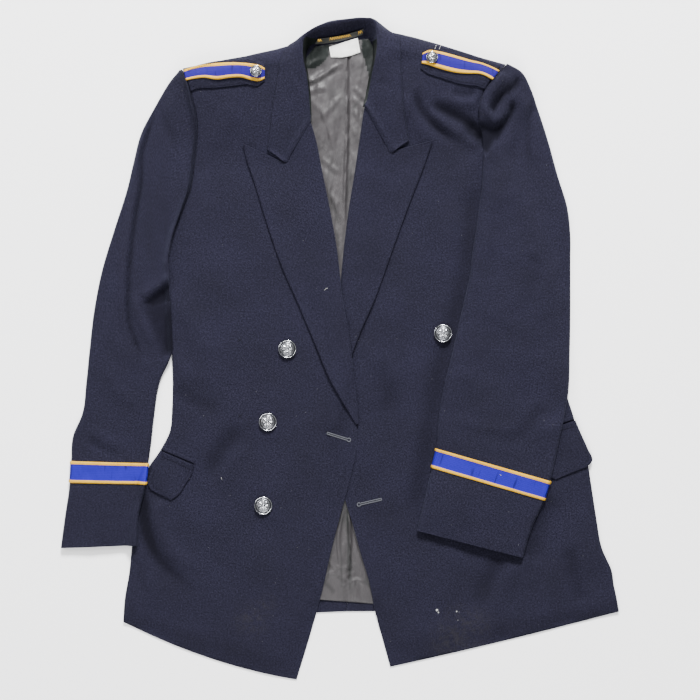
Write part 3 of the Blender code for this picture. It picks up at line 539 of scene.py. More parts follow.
def woolMaterial(name, stains=(), specks=()):
    material, tree, shader, cut = newMaterial(name, 0.92, sheen=0.04, sheenTint=(0.55, 0.58, 0.95),
                                              specular=0.08, preview=wool["light"])
    weave = useGroup(tree, twillWeave, Cloth=cut, Threads=2000.0)
    nap = useGroup(tree, napTone, Cloth=cut, Patch_Size=0.07)
    tone = plus(tree, times(tree, nap["Tone"], 0.75), times(tree, nap["Streak"], 0.35))
    colour = mixColour(tree, rangeOf(tree, tone, 0.3, 0.8), wool["dark"], wool["light"])
    grain = noiseOf(tree, cut, 480.0, 2.0, 0.8)
    colour = mixColour(tree, rangeOf(tree, grain, 0.52, 0.34), colour, wool["pit"])
    colour = mixColour(tree, rangeOf(tree, grain, 0.52, 0.72, 0.0, 0.45), colour, wool["fleck"])
    colour = mixColour(tree, times(tree, weave["Fleck"], 0.2), colour, wool["fleck"])
    edge = wearAndShadeOf(tree)
    rubbed = rangeOf(tree, noiseOf(tree, cut, 90.0, 3.0), 0.45, 0.75, 0.0, 0.1)
    colour = mixColour(tree, times(tree, edge, rubbed), colour, wool["worn"])
    # the same attribute runs below zero in the creases and along some edges and seams, where
    # painted shade darkens the cloth
    colour = mixColour(tree, times(tree, edge, -0.8, clamp=True), colour, wool["sunk"])
    lint = useGroup(tree, lintSpecks, Cloth=cut, Density=75.0, Size=0.035)
    colour = mixColour(tree, times(tree, lint["Speck"], 0.45), colour, wool["lint"])
    place = tree.nodes.new("ShaderNodeTexCoord").outputs["Object"]

    def maskAt(x, y, reach):
        return useGroup(tree, rubbedPlace, Place=place, Centre=(x * metres, y * metres, 0.0),
                        Reach=reach * metres)["Mask"]

    for x, y, reach, strength in stains:
        share = times(tree, maskAt(x, y, reach), strength)
        colour = mixColour(tree, share, colour, wool["stain"])
    for spot in specks:
        share = rangeOf(tree, maskAt(*spot), 0.15, 0.45, 0.0, 0.8)
        colour = mixColour(tree, share, colour, wool["speck"])
    tree.links.new(colour, shader.inputs["Base Color"])
    tree.links.new(rangeOf(tree, nap["Tone"], 0.3, 0.75, 0.84, 0.97), shader.inputs["Roughness"])
    crumple = times(tree, noiseOf(tree, cut, 75.0, 4.0, 0.6), 2.4)
    fuzz = plus(tree, plus(tree, weave["Height"], crumple), times(tree, grain, 1.5))
    bumpFrom(tree, shader, fuzz, 0.7, 0.00045)
    return material


satin = {"pale": (0.042, 0.0385, 0.041), "deep": (0.020, 0.0187, 0.020),
         "facing": (0.0025, 0.0036, 0.0034), "facingPale": (0.009, 0.0112, 0.0106)}


def satinMaterial(name, deep, pale, specular, facingAndShade=False):
    # the mesh's own mask turns it to the dark facing satin: the facing at the neck, and painted
    # shade along the pleat and in the folds
    material, tree, shader, cut = newMaterial(name, 0.4, specular=specular, preview=pale)
    fine = noiseOf(tree, stretched(tree, cut, 2600.0, 260.0), 1.0, 2.0, 0.6)
    cloud = noiseOf(tree, stretched(tree, cut, 38.0, 17.0), 1.0, 5.0, 0.62)
    tone = plus(tree, times(tree, fine, 0.3), times(tree, cloud, 0.8))
    colour = mixColour(tree, rangeOf(tree, tone, 0.35, 0.75), deep, pale)
    gloss = rangeOf(tree, fine, 0.3, 0.7, 0.40, 0.54)
    if facingAndShade:
        shade = wearAndShadeOf(tree)
        colour = mixColour(tree, shade, colour, satin["facing"])
        gloss = plus(tree, gloss, times(tree, shade, 0.3))
    tree.links.new(colour, shader.inputs["Base Color"])
    tree.links.new(gloss, shader.inputs["Roughness"])
    crumple = noiseOf(tree, stretched(tree, cut, 27.0, 12.0), 1.0, 3.0, 0.45)
    bumpFrom(tree, shader, plus(tree, times(tree, fine, 0.02), crumple), 1.0, 0.011)
    return material


braidLook = {"blue": (0.015, 0.007, 0.25), "blueDark": (0.006, 0.003, 0.13),
             "ribbon": (0.016, 0.006, 0.165), "ribbonDark": (0.006, 0.003, 0.085),
             "gold": (0.68, 0.40, 0.014), "goldDark": (0.26, 0.115, 0.006)}


def braidMaterial(name, dark, light, ribs, roughness, specular, creased=0.0):
    # ribbed across the band: u of its UV runs along it; creased paints shade in dark lines across
    # it, as if it were creased
    material, tree, shader, cut = newMaterial(name, roughness, specular=specular, preview=light)
    split = tree.nodes.new("ShaderNodeSeparateXYZ")
    tree.links.new(cut, split.inputs[0])
    rib = maths(tree, "SINE", times(tree, split.outputs[0], ribs * 6.2832))
    rows = maths(tree, "SINE", times(tree, split.outputs[1], ribs * 4.4))
    uneven = noiseOf(tree, cut, 700.0, 3.0, 0.65)
    lift = plus(tree, times(tree, rib, 0.35), plus(tree, times(tree, rows, 0.12), uneven))
    patchy = times(tree, noiseOf(tree, cut, 60.0, 3.0), 0.6)
    share = rangeOf(tree, plus(tree, lift, patchy), 0.2, 1.4)
    colour = mixColour(tree, share, dark, light)
    crossways = noiseOf(tree, stretched(tree, cut, 150.0, 14.0), 1.0, 2.0)
    colour = mixColour(tree, rangeOf(tree, crossways, 0.40, 0.32, 0.0, creased), colour,
                       tuple(c * 0.35 for c in dark))
    tree.links.new(colour, shader.inputs["Base Color"])
    bumpFrom(tree, shader, lift, 0.6, 0.0003)
    return material


chrome = {"dull": (0.22, 0.23, 0.26), "bright": (0.74, 0.75, 0.79), "recessShade": (0.012, 0.012, 0.016)}


def chromeMaterial():
    # polished shell, rougher in its recesses and darkened there by painted shade, with fine
    # scratches
    material, tree, shader, cut = newMaterial("buttonChrome", 0.2, metallic=1.0,
                                              preview=(0.7, 0.7, 0.72))
    cloud = noiseOf(tree, cut, 260.0, 4.0, 0.6)
    recessShade = times(tree, wearAndShadeOf(tree), rangeOf(tree, cloud, 0.25, 0.6, 0.8, 1.0))
    metal = mixColour(tree, rangeOf(tree, cloud, 0.35, 0.62), chrome["dull"], chrome["bright"])
    tree.links.new(mixColour(tree, recessShade, metal, chrome["recessShade"]), shader.inputs["Base Color"])
    rough = plus(tree, times(tree, recessShade, 0.35), rangeOf(tree, cloud, 0.3, 0.7, 0.06, 0.16))
    tree.links.new(rough, shader.inputs["Roughness"])
    scratch = noiseOf(tree, stretched(tree, cut, 2400.0, 300.0), 1.0, 2.0)
    bumpFrom(tree, shader, scratch, 0.15, 0.0001)
    return material


def threadMaterial(name, colour, roughness=0.75):
    material, tree, shader, _ = newMaterial(name, roughness, sheen=0.02, specular=0.12,
                                            preview=colour)
    place = tree.nodes.new("ShaderNodeTexCoord").outputs["Object"]
    strand = noiseOf(tree, place, 900.0, 3.0, 0.6)
    shade = mixColour(tree, rangeOf(tree, strand, 0.3, 0.7), tuple(c * 0.6 for c in colour), colour)
    tree.links.new(shade, shader.inputs["Base Color"])
    bumpFrom(tree, shader, strand, 0.5, 0.0002)
    return material


threads = {"grey": (0.080, 0.083, 0.095), "navy": (0.005, 0.005, 0.010),
           "white": (0.50, 0.50, 0.47), "gold": (0.50, 0.29, 0.025)}
labelLook = {"black": (0.03, 0.031, 0.026), "blackDark": (0.012, 0.013, 0.011),
             "white": (0.80, 0.80, 0.78), "whiteDark": (0.56, 0.56, 0.54)}
# places on the cloth in millimetres: x, y, reach, and for a stain its strength
marks = {"stains": [(-117, -360, 30, 0.35), (-96, -340, 18, 0.22), (160, -378, 46, 0.4),
                    (186, -362, 26, 0.2), (140, -395, 30, 0.25)],
         "specks": [(129, -347, 2.8), (131, -350.5, 1.8), (155, -349, 2.2), (159, -350, 1.8),
                    (157, -361, 1.6)]}


bodyWool = woolMaterial("navyWoolFronts", **marks)
sleeveWool = woolMaterial("navyWoolSleeves")
trimWool = woolMaterial("navyWoolTrim")
liningSatin = satinMaterial("greySatin", satin["deep"], satin["pale"], 0.30, True)
facingSatin = satinMaterial("darkSatin", satin["facing"], satin["facingPale"], 0.12)
blueBraid = braidMaterial("blueBraid", braidLook["blueDark"], braidLook["blue"],
                          620.0, 0.75, 0.12, 0.7)
blueRibbon = braidMaterial("blueRibbon", braidLook["ribbonDark"], braidLook["ribbon"],
                           620.0, 0.75, 0.12, 0.7)
goldBraid = braidMaterial("goldBraid", braidLook["goldDark"], braidLook["gold"], 900.0, 0.6, 0.2)
labelBlack = braidMaterial("labelBlack", labelLook["blackDark"], labelLook["black"],
                           1400.0, 0.5, 0.4)
labelWhite = braidMaterial("labelWhite", labelLook["whiteDark"], labelLook["white"],
                           1200.0, 0.5, 0.4)
buttonChrome = chromeMaterial()
greyThread, navyThread, whiteThread, goldThread = (
    threadMaterial(name + "Thread", threads[name]) for name in ("grey", "navy", "white", "gold"))
print("materials made")

# back: flat on the surface, its padded top turned over each shoulder

# each row of a front, from its outer side to its front edge: x, y, x, y, how far its middle
# bows up, or down below zero, and 1 where its side turns under or 0 along the armhole
frontRightRows = [
    (-201, 358, -65, 380, 0, 0), (-196, 335, -53, 355, 0, 0), (-190, 311, -45, 329, 0, 0),
    (-189, 285, -38, 298, 0, 0), (-193, 251, -31, 265, 0, 0), (-198, 215, -23, 225, 0, 0),
    (-210, 182, -16, 185, 0, 0), (-221, 152, -9, 145, 0, 0), (-229, 116, -2, 102, 0, 0),
    (-229, 80, 3, 59, 0, 1), (-227, 45, 10, 15, 0, 1), (-225, 5, 17, -35, 0, 1),
    (-223, -48, 21, -77, 0, 1), (-224, -81, 22, -104, 0, 1), (-227, -110, 22, -134, 0, 1),
    (-239, -134, 17, -158, 0, 1), (-257, -161, 10, -187, 0, 1), (-265, -190, -1, -227, 0, 1),
    (-271, -218, -12, -270, -1, 1), (-277, -261, -22, -315, -3, 1), (-281, -298, -33, -357, -6, 1),
    (-287, -334, -46, -402, -8, 1), (-289, -364, -58, -441, -10, 1)]
frontLeftRows = [
    (206, 360, 68, 398, 0, 0), (192, 344, 53, 376, 0, 0), (184, 322, 41, 347, 0, 0),
    (189, 298, 32, 315, 0, 0), (202, 265, 26, 278, 0, 0), (223, 225, 19, 231, 0, 0),
    (246, 181, 12, 188, 0, 0), (263, 141, 6, 142, 0, 0), (274, 105, 2, 102, 0, 0),
    (287, 65, -2, 59, 0, 1), (289, 12, -5, 12, 0, 1), (294, -28, -8, -35, 0, 1),
    (303, -64, -9, -74, 0, 1), (311, -89, -9, -105, 0, 1), (319, -118, -5, -141, 0, 1),
    (330, -152, 1, -174, 0, 1), (336, -188, 7, -201, 0, 1), (342, -227, 17, -234, 0, 1),
    (349, -265, 28, -274, 0, 1), (362, -295, 39, -311, 0, 1), (365, -314, 47, -351, 0, 1),
    (369, -333, 57, -388, -1, 1), (372, -350, 67, -424, -2, 1)]

backs = {
    "right": {"name": "backRight", "node": "back_right", "rows": frontRightRows,
              "outline": [(-210, 374), (-185, 379.3), (-154, 385.8), (-125, 390.8), (-110, 394.5),
                          (-85, 399.8), (-67, 405)],
              "neck": [(-65, 380), (-50, 393), (-37, 405), (-13, 416), (9, 423)],
              "flat": (0.30, 0.80), "area": 0.186},
    "left": {"name": "backLeft", "node": "back_left", "rows": frontLeftRows,
             "outline": [(221, 379.3), (188, 388.5), (158, 398.2), (129, 407.2), (100, 415.3),
                         (80, 420), (66, 423)],
             "neck": [(68, 398), (52, 405), (42, 412), (28, 424), (9, 423)],
             "flat": (0.37, 0.80), "area": 0.24},
}
backShape = {"columns": 34, "shoulder": 0.62, "fade": 0.08, "rowStep": 9.0, "rim": 3.0,
             "rimRows": 12, "seamGap": 0.02, "hemBow": 2.0}


def makeBack(side):
    look = backs[side]
    rows = smoothRows(look["rows"], backShape["rowStep"], 2)
    seamX = body["centreBack"] + (-1.0 if side == "right" else 1.0) * backShape["seamGap"]
    columns = np.linspace(0.0, 1.0, backShape["columns"])
    split, rim = backShape["shoulder"], backShape["rim"]
    shoulder = columns <= split
    # the shoulder seam runs on into the neck; out is the rim that stands beyond it
    seam = np.zeros((len(columns), 2))
    out = np.zeros((len(columns), 3))
    seam[shoulder] = lineAt([look["rows"][0][:2], look["neck"][0]], columns[shoulder] / split)
    seam[~shoulder] = lineAt(look["neck"], (columns[~shoulder] - split) / (1.0 - split))
    out[shoulder, :2] = lineAt(look["outline"], columns[shoulder] / split)
    out[~shoulder, :2] = seam[~shoulder] + (0.0, rim)
    out[:, 2] = 1.0 - ease((columns - split + 0.01) / backShape["fade"])
    seam[-1, 0] = out[-1, 0] = seamX
    out[:, :2] = mix(seam + (0.0, rim), out[:, :2], out[:, 2:3])
    x, y, z = [], [], []
    for part in np.linspace(1.0, 0.0, backShape["rimRows"]):
        height = (bodyTop(seam[:, 1]) - body["backCloth"] - rim) * out[:, 2]
        x.append(mix(seam[:, 0], out[:, 0], part))
        y.append(mix(seam[:, 1] + 0.5, out[:, 1], part))
        z.append(body["backCloth"] + rim * out[:, 2] + height * math.sqrt(1.0 - part * part))
    count = len(rows)
    for k in range(1, count):
        centreY = mix(look["neck"][-1][1], body["hem"], k / (count - 1))
        bow = backShape["hemBow"] * (1 - columns) if k == count - 1 else 0.0
        x.append(mix(rows[k, 0], seamX, columns))
        y.append(mix(rows[k, 1], centreY, columns) + bow)
        z.append(np.full(len(columns), body["backCloth"]))
    x, y, z = np.array(x), np.array(y), np.array(z)
    piece = sheetPiece(look["name"], x, y, z, np.zeros_like(z), [bodyWool], edge=0.4)
    stamp(ground, x, y, z)
    settlePiece(piece, look["node"])


makeBack("right")
makeBack("left")
print("back laid")

# lining: grey satin over the back, pleated down the middle

lining = {
    # each row from the right to the left: x, y, x, y
    "rows": [(-34, 403, 38, 414), (-46, 386, 50, 391), (-52, 364, 52, 370), (-49, 331, 47, 345),
             (-39, 265, 33, 275), (-29, 198, 20, 205), (-18, 132, 14, 135), (-12, 65, 14, 66),
             (-12, -1, 18, 0), (-12, -68, 22, -68), (-12, -134, 24, -134), (-14, -201, 25, -201),
             (-31, -267, 43, -267), (-43, -333, 60, -341)],
    "thick": 0.8, "flat": (0.116, 0.77), "area": 0.045,
    # dark holds outlines, how dark and how soft; the darkest at the top are the facing, the rest
    # are painted shade along the pleat and in the folds
    "columns": 46, "rowStep": 2.6, "border": 12.0, "hem": -341.0, "hemFade": 10.0,
    "strength": 1.25, "wrinkles": 0.5, "wrinkleSize": 22.0, "fine": 0.25, "fineSize": 8.0,
    "settle": 1.2, "tallest": 4.6, "under": 0.9, "facingFrom": 335.0, "facingMask": 0.62,
    "dark": [([(-70, 430), (-70, 371), (-50, 372), (-33, 373), (-22, 380), (-13, 391), (-10, 430)],
              1.0, 4.0),
             ([(28, 440), (28, 396), (33, 384), (38, 365), (42, 346), (66, 342), (66, 440)],
              1.0, 4.0),
             ([(11.2, 402), (13.0, 402), (13.4, 283), (11.9, 283)], 0.3, 1.4),
             ([(12.0, 283), (13.6, 283), (11.2, 205), (9.8, 150), (8.8, 150), (9.2, 209)], 0.62,
              1.2),
             ([(-44, 351), (-30, 354), (-18, 361), (-7, 373), (-10, 376), (-20, 365), (-31, 359),
               (-44, 356)], 0.34, 2.0),
             ([(14, 322), (19, 318), (32, 334), (30, 338), (22, 330)], 0.4, 2.6),
             ([(13, 246), (17, 246), (16, 226), (12, 204), (11, 204)], 0.45, 2.6),
             ([(-17, 262), (-8, 262), (-6, 240), (-10, 224), (-16, 232)], 0.26, 6.0),
             ([(-9, 188), (-5, 186), (-1, 168), (-4, 166)], 0.5, 2.0),
             ([(-6, 160), (-3, 158), (0, 136), (-3, 136)], 0.5, 2.0),
             ([(-14, -190), (26, -190), (34, -226), (12, -244), (-20, -230)], 0.5, 14.0),
             ([(8, -215), (11, -215), (17, -290), (13, -325), (9, -290)], 0.6, 2.2),
             ([(27, -238), (30, -240), (43, -300), (38, -306)], 0.6, 2.4),
             ([(33, -300), (47, -318), (44, -326), (30, -310)], 0.55, 3.0),
             ([(-10, -250), (-7, -250), (-15, -306), (-20, -312)], 0.5, 2.4),
             ([(-26, -300), (-4, -322), (-8, -328), (-28, -310)], 0.45, 3.0),
             ([(0, -262), (3, -262), (4, -318), (0, -318)], 0.4, 2.0),
             ([(-22, 235), (-15, 238), (-4, 190), (-14, 180)], 0.3, 6.0),
             ([(14, 330), (20, 326), (34, 300), (30, 296)], 0.3, 3.5)],
    "creases": [
        ([(10.6, 403), (11, 346), (11, 283), (8.3, 209), (7.6, 150)], 2.6, 3.0, -0.75, 0.05, 0.2),
        ([(-44, 353), (-30, 358), (-16, 367), (8, 381)], 2.4, 3.6, 0.6, 0.1, 0.3),
        ([(-40, 362), (-28, 370), (-14, 376)], -1.4, 4.0, 0.3, 0.2, 0.3),
        ([(-48, 372), (-34, 380), (-18, 388)], 1.8, 4.0, 0.3, 0.2, 0.3),
        ([(-42, 338), (-30, 345), (-14, 344)], 1.5, 4.0, 0.5, 0.2, 0.3),
        ([(-36, 330), (-18, 300), (-12, 262)], 1.6, 5.0, 0.5, 0.3, 0.3),
        ([(-30, 300), (-10, 322), (4, 340)], 1.3, 4.0, 0.3, 0.3, 0.3),
        ([(-26, 255), (-12, 240), (2, 232)], 1.4, 4.0, 0.5, 0.3, 0.3),
        ([(16, 348), (24, 340), (36, 326)], 1.8, 3.2, 0.6, 0.1, 0.2),
        ([(14, 334), (24, 326), (36, 310)], 1.6, 3.0, 0.5, 0.1, 0.2),
        ([(16, 318), (24, 306), (33, 292)], 1.5, 3.2, 0.5, 0.1, 0.2),
        ([(14, 296), (22, 282), (28, 262)], 1.4, 3.4, 0.5, 0.3, 0.3),
        ([(14, 262), (20, 246), (22, 226)], 1.2, 3.2, 0.5, 0.3, 0.3),
        ([(-20, 215), (-6, 190), (2, 160)], 1.4, 4.5, 0.5, 0.3, 0.3),
        ([(4, -210), (-4, -250), (-2, -290)], 2.2, 3.0, 0.6, 0.2, 0.2),
        ([(13, -215), (15, -262), (10, -320)], 2.3, 2.6, -0.7, 0.1, 0.2),
        ([(20, -236), (30, -275), (40, -325)], 2.0, 3.0, 0.6, 0.2, 0.2),
        ([(-20, -282), (-2, -294), (20, -292)], 1.6, 3.0, 0.5, 0.2, 0.2),
        ([(-24, -306), (-8, -300), (8, -312)], 1.5, 3.0, 0.5, 0.2, 0.2),
        ([(2, -318), (22, -306), (36, -312)], 1.4, 3.2, -0.5, 0.2, 0.2),
        ([(34, -262), (42, -294), (46, -332)], 1.8, 3.0, 0.5, 0.2, 0.2),
        ([(-10, -262), (-20, -290), (-28, -330)], 1.7, 3.0, -0.5, 0.2, 0.2)],
}


def makeLining():
    rows = smoothRows(lining["rows"], lining["rowStep"])
    shares = np.linspace(0.0, 1.0, lining["columns"])
    x, y = planOf(rows, shares)
    bottom = np.full(x.shape, body["backCloth"] + body["gap"])
    border = np.minimum(np.minimum(shares, 1 - shares)[None, :] * lining["border"], 1.0)
    hem = ease((y - lining["hem"]) / lining["hemFade"])
    puff = (creaseHeights(lining["creases"], x, y, lining["strength"])
            + lining["wrinkles"] * ripple(x, y, lining["wrinkleSize"], 3, stretch=(0.6, 1.4))
            + lining["fine"] * ripple(x, y, lining["fineSize"], 4, stretch=(0.7, 1.2)))
    fold = np.clip(puff + lining["settle"], 0.0, lining["tallest"]) * border * hem
    top = bottom + lining["thick"] + fold
    dark = np.clip(insideHeights(lining["dark"], x, y), 0.0, 1.0)
    facing = ((dark > lining["facingMask"]) & (y > lining["facingFrom"])).astype(int)
    piece = sheetPiece("backLining", x, y, top, bottom + fold * lining["under"],
                       [liningSatin, facingSatin], edge=0.3, pick=facing, wearAndShade=dark)
    stamp(ground, x, y, top)
    settlePiece(piece, "back_lining")


makeLining()
print("lining laid")

# fronts

fronts = {
    "left": {"name": "frontLeft", "node": "front_left", "rows": frontLeftRows,
             "flat": (0.385, 0.83), "area": 0.245, "grain": 4.0, "seed": 21, "creases": [
        ([(95, 345), (104, 318), (120, 298), (142, 280), (162, 262)], -3.2, 6.5, 0.3, 0.2, 0.4),
        ([(84, 344), (92, 312), (108, 286), (134, 262)], 1.7, 9.0, 0.2, 0.2, 0.45),
        ([(116, 324), (142, 311), (164, 300), (191, 280)], -4.0, 7.5, 0.3, 0.2, 0.08),
        ([(108, 330), (134, 300), (160, 284), (188, 262)], 2.2, 7.0, 0.1, 0.3, 0.2),
        ([(130, 334), (152, 326), (184, 322)], 2.2, 8.0, 0.2, 0.3, 0.1),
        ([(146, 341), (158, 334), (180, 336)], -1.8, 6.0, 0.3, 0.2, 0.1),
        ([(160, 296), (176, 288), (194, 272)], -2.6, 12.0, 0.0, 0.4, 0.0),
        ([(178, 262), (165, 232), (162, 190)], 1.1, 14.0, 0.3, 0.2, 0.4),
        ([(150, 200), (140, 150), (136, 90)], 0.9, 16.0, 0.4, 0.3, 0.4),
        ([(40, -17), (61, -57), (53, -94)], -1.5, 15.0, 0.3, 0.3, 0.3),
        ([(22, 20), (44, -20), (90, -60)], 0.9, 14.0, 0.3, 0.3, 0.4),
        ([(213, -275), (192, -307), (176, -350)], -1.5, 14.0, 0.3, 0.1, 0.3),
        ([(228, -280), (212, -320), (202, -356)], 1.2, 12.0, 0.2, 0.1, 0.3),
        ([(299, -262), (306, -300), (316, -340)], -1.4, 11.0, 0.4, 0.2, 0.1),
        ([(318, -200), (322, -250), (330, -310)], 1.1, 12.0, 0.3, 0.2, 0.2),
        ([(120, -180), (140, -250), (146, -330)], 0.8, 20.0, 0.3, 0.3, 0.3),
        ([(262, -270), (270, -320), (268, -375)], 1.0, 13.0, 0.5, 0.2, 0.2),
        ([(20, -216), (60, -222), (92, -214)], -0.7, 12.0, 0.2, 0.3, 0.3),
        ([(188, 250), (178, 195), (172, 140), (165, 95), (154, 45), (140, -5), (128, -55),
          (119, -105), (112, -150), (102, -200), (96, -236)], -1.7, 13.0, 0.0, 0.15, 0.1),
        ([(104, -236), (150, -256), (200, -276), (244, -286)], -1.2, 13.0, 0.0, 0.1, 0.1),
        ([(252, -282), (266, -240), (284, -196)], -1.4, 12.0, 0.0, 0.1, 0.1)]},
    "right": {"name": "frontRight", "node": "front_right", "rows": frontRightRows,
              "flat": (0.315, 0.83), "area": 0.19, "grain": -3.0, "seed": 11, "creases": [
        ([(-257, -196), (-254, -238), (-240, -276), (-218, -298), (-184, -318)], -3.6, 8.0, -0.3,
         0.08, 0.35),
        ([(-246, -200), (-241, -236), (-226, -266), (-206, -284), (-176, -300)], 2.2, 9.0, 0.1,
         0.1, 0.35),
        ([(-262, -150), (-252, -172), (-238, -206)], -1.6, 10.0, 0.0, 0.1, 0.3),
        ([(-264, -190), (-261, -226), (-253, -258), (-240, -284)], -3.0, 6.5, 0.0, 0.05, 0.4),
        ([(-234, -290), (-209, -307), (-180, -322)], 1.1, 8.0, 0.4, 0.3, 0.4),
        ([(-272, -250), (-262, -300), (-240, -345)], 1.4, 9.0, 0.3, 0.2, 0.3),
        ([(-132, -98), (-160, -128), (-184, -172)], -1.9, 14.0, 0.3, 0.25, 0.3),
        ([(-120, -120), (-146, -148), (-166, -190)], 1.1, 12.0, 0.3, 0.3, 0.3),
        ([(-224, -58), (-190, -78), (-150, -88)], -1.3, 12.0, 0.4, 0.05, 0.4),
        ([(-226, -20), (-192, -42), (-160, -48)], 1.0, 12.0, 0.4, 0.05, 0.4),
        ([(-222, 70), (-200, 20), (-186, -40)], 1.2, 14.0, 0.4, 0.2, 0.4),
        ([(-192, 240), (-182, 190), (-186, 140)], 1.0, 13.0, 0.4, 0.2, 0.4),
        ([(-10, -62), (-34, -90), (-70, -100)], 0.9, 14.0, 0.3, 0.3, 0.4),
        ([(14, -60), (-2, -104), (-10, -150)], -0.9, 12.0, 0.2, 0.2, 0.3),
        ([(-60, -130), (-84, -180), (-90, -260)], 0.8, 18.0, 0.3, 0.3, 0.3),
        ([(-98, 250), (-104, 180), (-98, 90)], 0.7, 20.0, 0.3, 0.3, 0.3),
        ([(-150, 330), (-158, 300), (-176, 268)], 0.9, 13.0, 0.4, 0.3, 0.3)]},
}
# columns near each edge stand this far from it, in millimetres
frontShape = {"sideSteps": [0.0, 0.5, 1.4, 2.8, 5.0, 8.5], "frontSteps": [4.0, 1.6, 0.6, 0.0],
              "between": 62, "freeWidth": 34.0, "hemWidth": 30.0, "freeFrom": 60.0,
              "freeReach": 90.0, "strength": 1.8, "wave": 0.9, "waveSize": 74.0, "fine": 0.24,
              "fineSize": 24.0, "paintedShade": 6.5, "armhole": 0.7, "armholeWidth": 3.0, "ease": 0.3}


def makeFront(side):
    look = fronts[side]
    rows = smoothRows(look["rows"], body["rowStep"], 2)
    width = np.hypot(rows[:, 0] - rows[:, 2], rows[:, 1] - rows[:, 3])[:, None]
    sideSteps, frontSteps = (np.array([frontShape[k]]) for k in ("sideSteps", "frontSteps"))
    between = np.arange(1, frontShape["between"])[None, :] / frontShape["between"]
    shares = np.concatenate([
        sideSteps / width,
        mix(sideSteps[:, -1:] / width, 1.0 - frontSteps[:, :1] / width, between),
        1.0 - frontSteps / width], 1)
    x, y = planOf(rows, shares)
    y = y + rows[:, 4:5] * 4 * shares * (1 - shares)
    fromSide, fromFront = shares * width, (1.0 - shares) * width
    fromHem = (np.arange(len(rows))[::-1] * body["rowStep"])[:, None]
    rest = restOn(ground, x, y, slope=0.35, reach=24.0)
    low = rest + body["cloth"]
    # free cloth stands at the body's own height, the rest lies on what is under it
    free = (ease(fromFront / frontShape["freeWidth"])
            * ease((fromHem + 1.0) / frontShape["hemWidth"]))
    free = mix(free, 1.0, ease((y - frontShape["freeFrom"]) / frontShape["freeReach"]))
    creased = creaseHeights(look["creases"], x, y, frontShape["strength"])
    soft = (creased + frontShape["wave"] * ripple(x, y, frontShape["waveSize"], look["seed"])
            + frontShape["fine"] * ripple(x, y, frontShape["fineSize"], look["seed"] + 1))
    soft *= ease(fromSide / 16.0 + 0.25) * ease(fromHem / 18.0 + 0.35)
    height = mix(low, bodyTop(y), free) + soft
    # fold: 0 along the armhole, 1 where the side turns under
    fold = np.clip(rows[:, 5:6], 0.0, 1.0)
    turned = mix(1.0, rounded(fromSide / body["sideRadius"]), fold)
    armhole = (1.0 - fold) * np.exp(-(fromSide / frontShape["armholeWidth"]) ** 2)
    height = mix(body["backCloth"] + body["gap"] + body["cloth"], height, turned)
    top = np.maximum(height - armhole * frontShape["armhole"], low)
    bottom = np.maximum(top - body["cloth"] - frontShape["ease"], rest)
    # painted shade: the deeper a crease, the darker its cloth
    piece = sheetPiece(look["name"], x, y, top, bottom, [bodyWool], look["grain"],
                       paintedShade=np.clip(-creased / frontShape["paintedShade"], 0.0, 1.0))
    stamp(ground, x, y, top)
    settlePiece(piece, look["node"])


# lapels: turned back at the roll line and lying on their front

lapels = {
    # each row gives x and y at the roll line, in the middle and at the edge
    "right": {"name": "lapelRight", "node": "lapel_right", "front": "frontRight", "rows": [
        (-39, 302, -72, 247, -129, 273), (-32, 278, -74, 227, -124, 251),
        (-24, 238, -66, 198, -114, 221), (-13, 184, -53, 161, -98, 169),
        (-4, 132, -41, 116, -80, 116), (4, 65, -24, 57, -58, 65), (13, 12, -9, 7, -35, 11),
        (19, -41, 4, -44, -12, -43), (23, -78, 16, -78, 7, -76), (25, -100, 22.5, -100, 20, -98)],
        "flat": (0.13, 0.41), "area": 0.0255, "grain": -20.0, "creases": [
            ([(-20, 200), (-44, 170), (-70, 160)], 0.7, 14.0, 0.4, 0.3, 0.3),
            ([(-6, 130), (-28, 90), (-30, 40)], 0.6, 12.0, 0.3, 0.3, 0.3),
            ([(14, 20), (4, -20), (12, -60)], 0.7, 8.0, 0.3, 0.3, 0.3)]},
    "left": {"name": "lapelLeft", "node": "lapel_left", "front": "frontLeft", "rows": [
        (33, 323, 68, 263, 123, 277), (29, 298, 64, 241, 117, 258), (24, 258, 57, 218, 109, 235),
        (17, 211, 51, 182, 94, 197), (11, 174, 43, 150, 76, 148), (5, 116, 31, 105, 59, 100),
        (1, 65, 21, 61, 46, 65), (-3, 19, 11, 17, 25, 17), (-6, -31, 1, -31, 9, -31),
        (-10, -78, -6.5, -78, -3, -78), (-11, -100, -8.5, -100, -6, -99)],
        "flat": (0.125, 0.43), "area": 0.0225, "grain": 18.0, "creases": [
            ([(28, 250), (50, 214), (80, 196)], 0.8, 14.0, 0.4, 0.3, 0.3),
            ([(60, 262), (76, 236), (96, 214)], 0.7, 9.0, 0.5, 0.2, 0.3),
            ([(10, 140), (22, 100), (20, 50)], 0.6, 11.0, 0.3, 0.3, 0.3)]},
}
# columns from the roll line to its soft middle, and on to the edge, as shares of each part
lapelShape = {"inner": [0.0, 0.02, 0.05, 0.1, 0.17, 0.26, 0.36, *np.linspace(0.5, 1.0, 7)],
              "outer": [*np.linspace(0.1, 0.92, 11), 0.97, 1.0], "thick": 2.3,
              "roll": 2.4, "rollWidth": 52.0, "rollFull": 55.0,
              "lift": 1.3, "liftWidth": 18.0, "liftFull": 30.0, "wave": 0.22, "waveSize": 42.0}


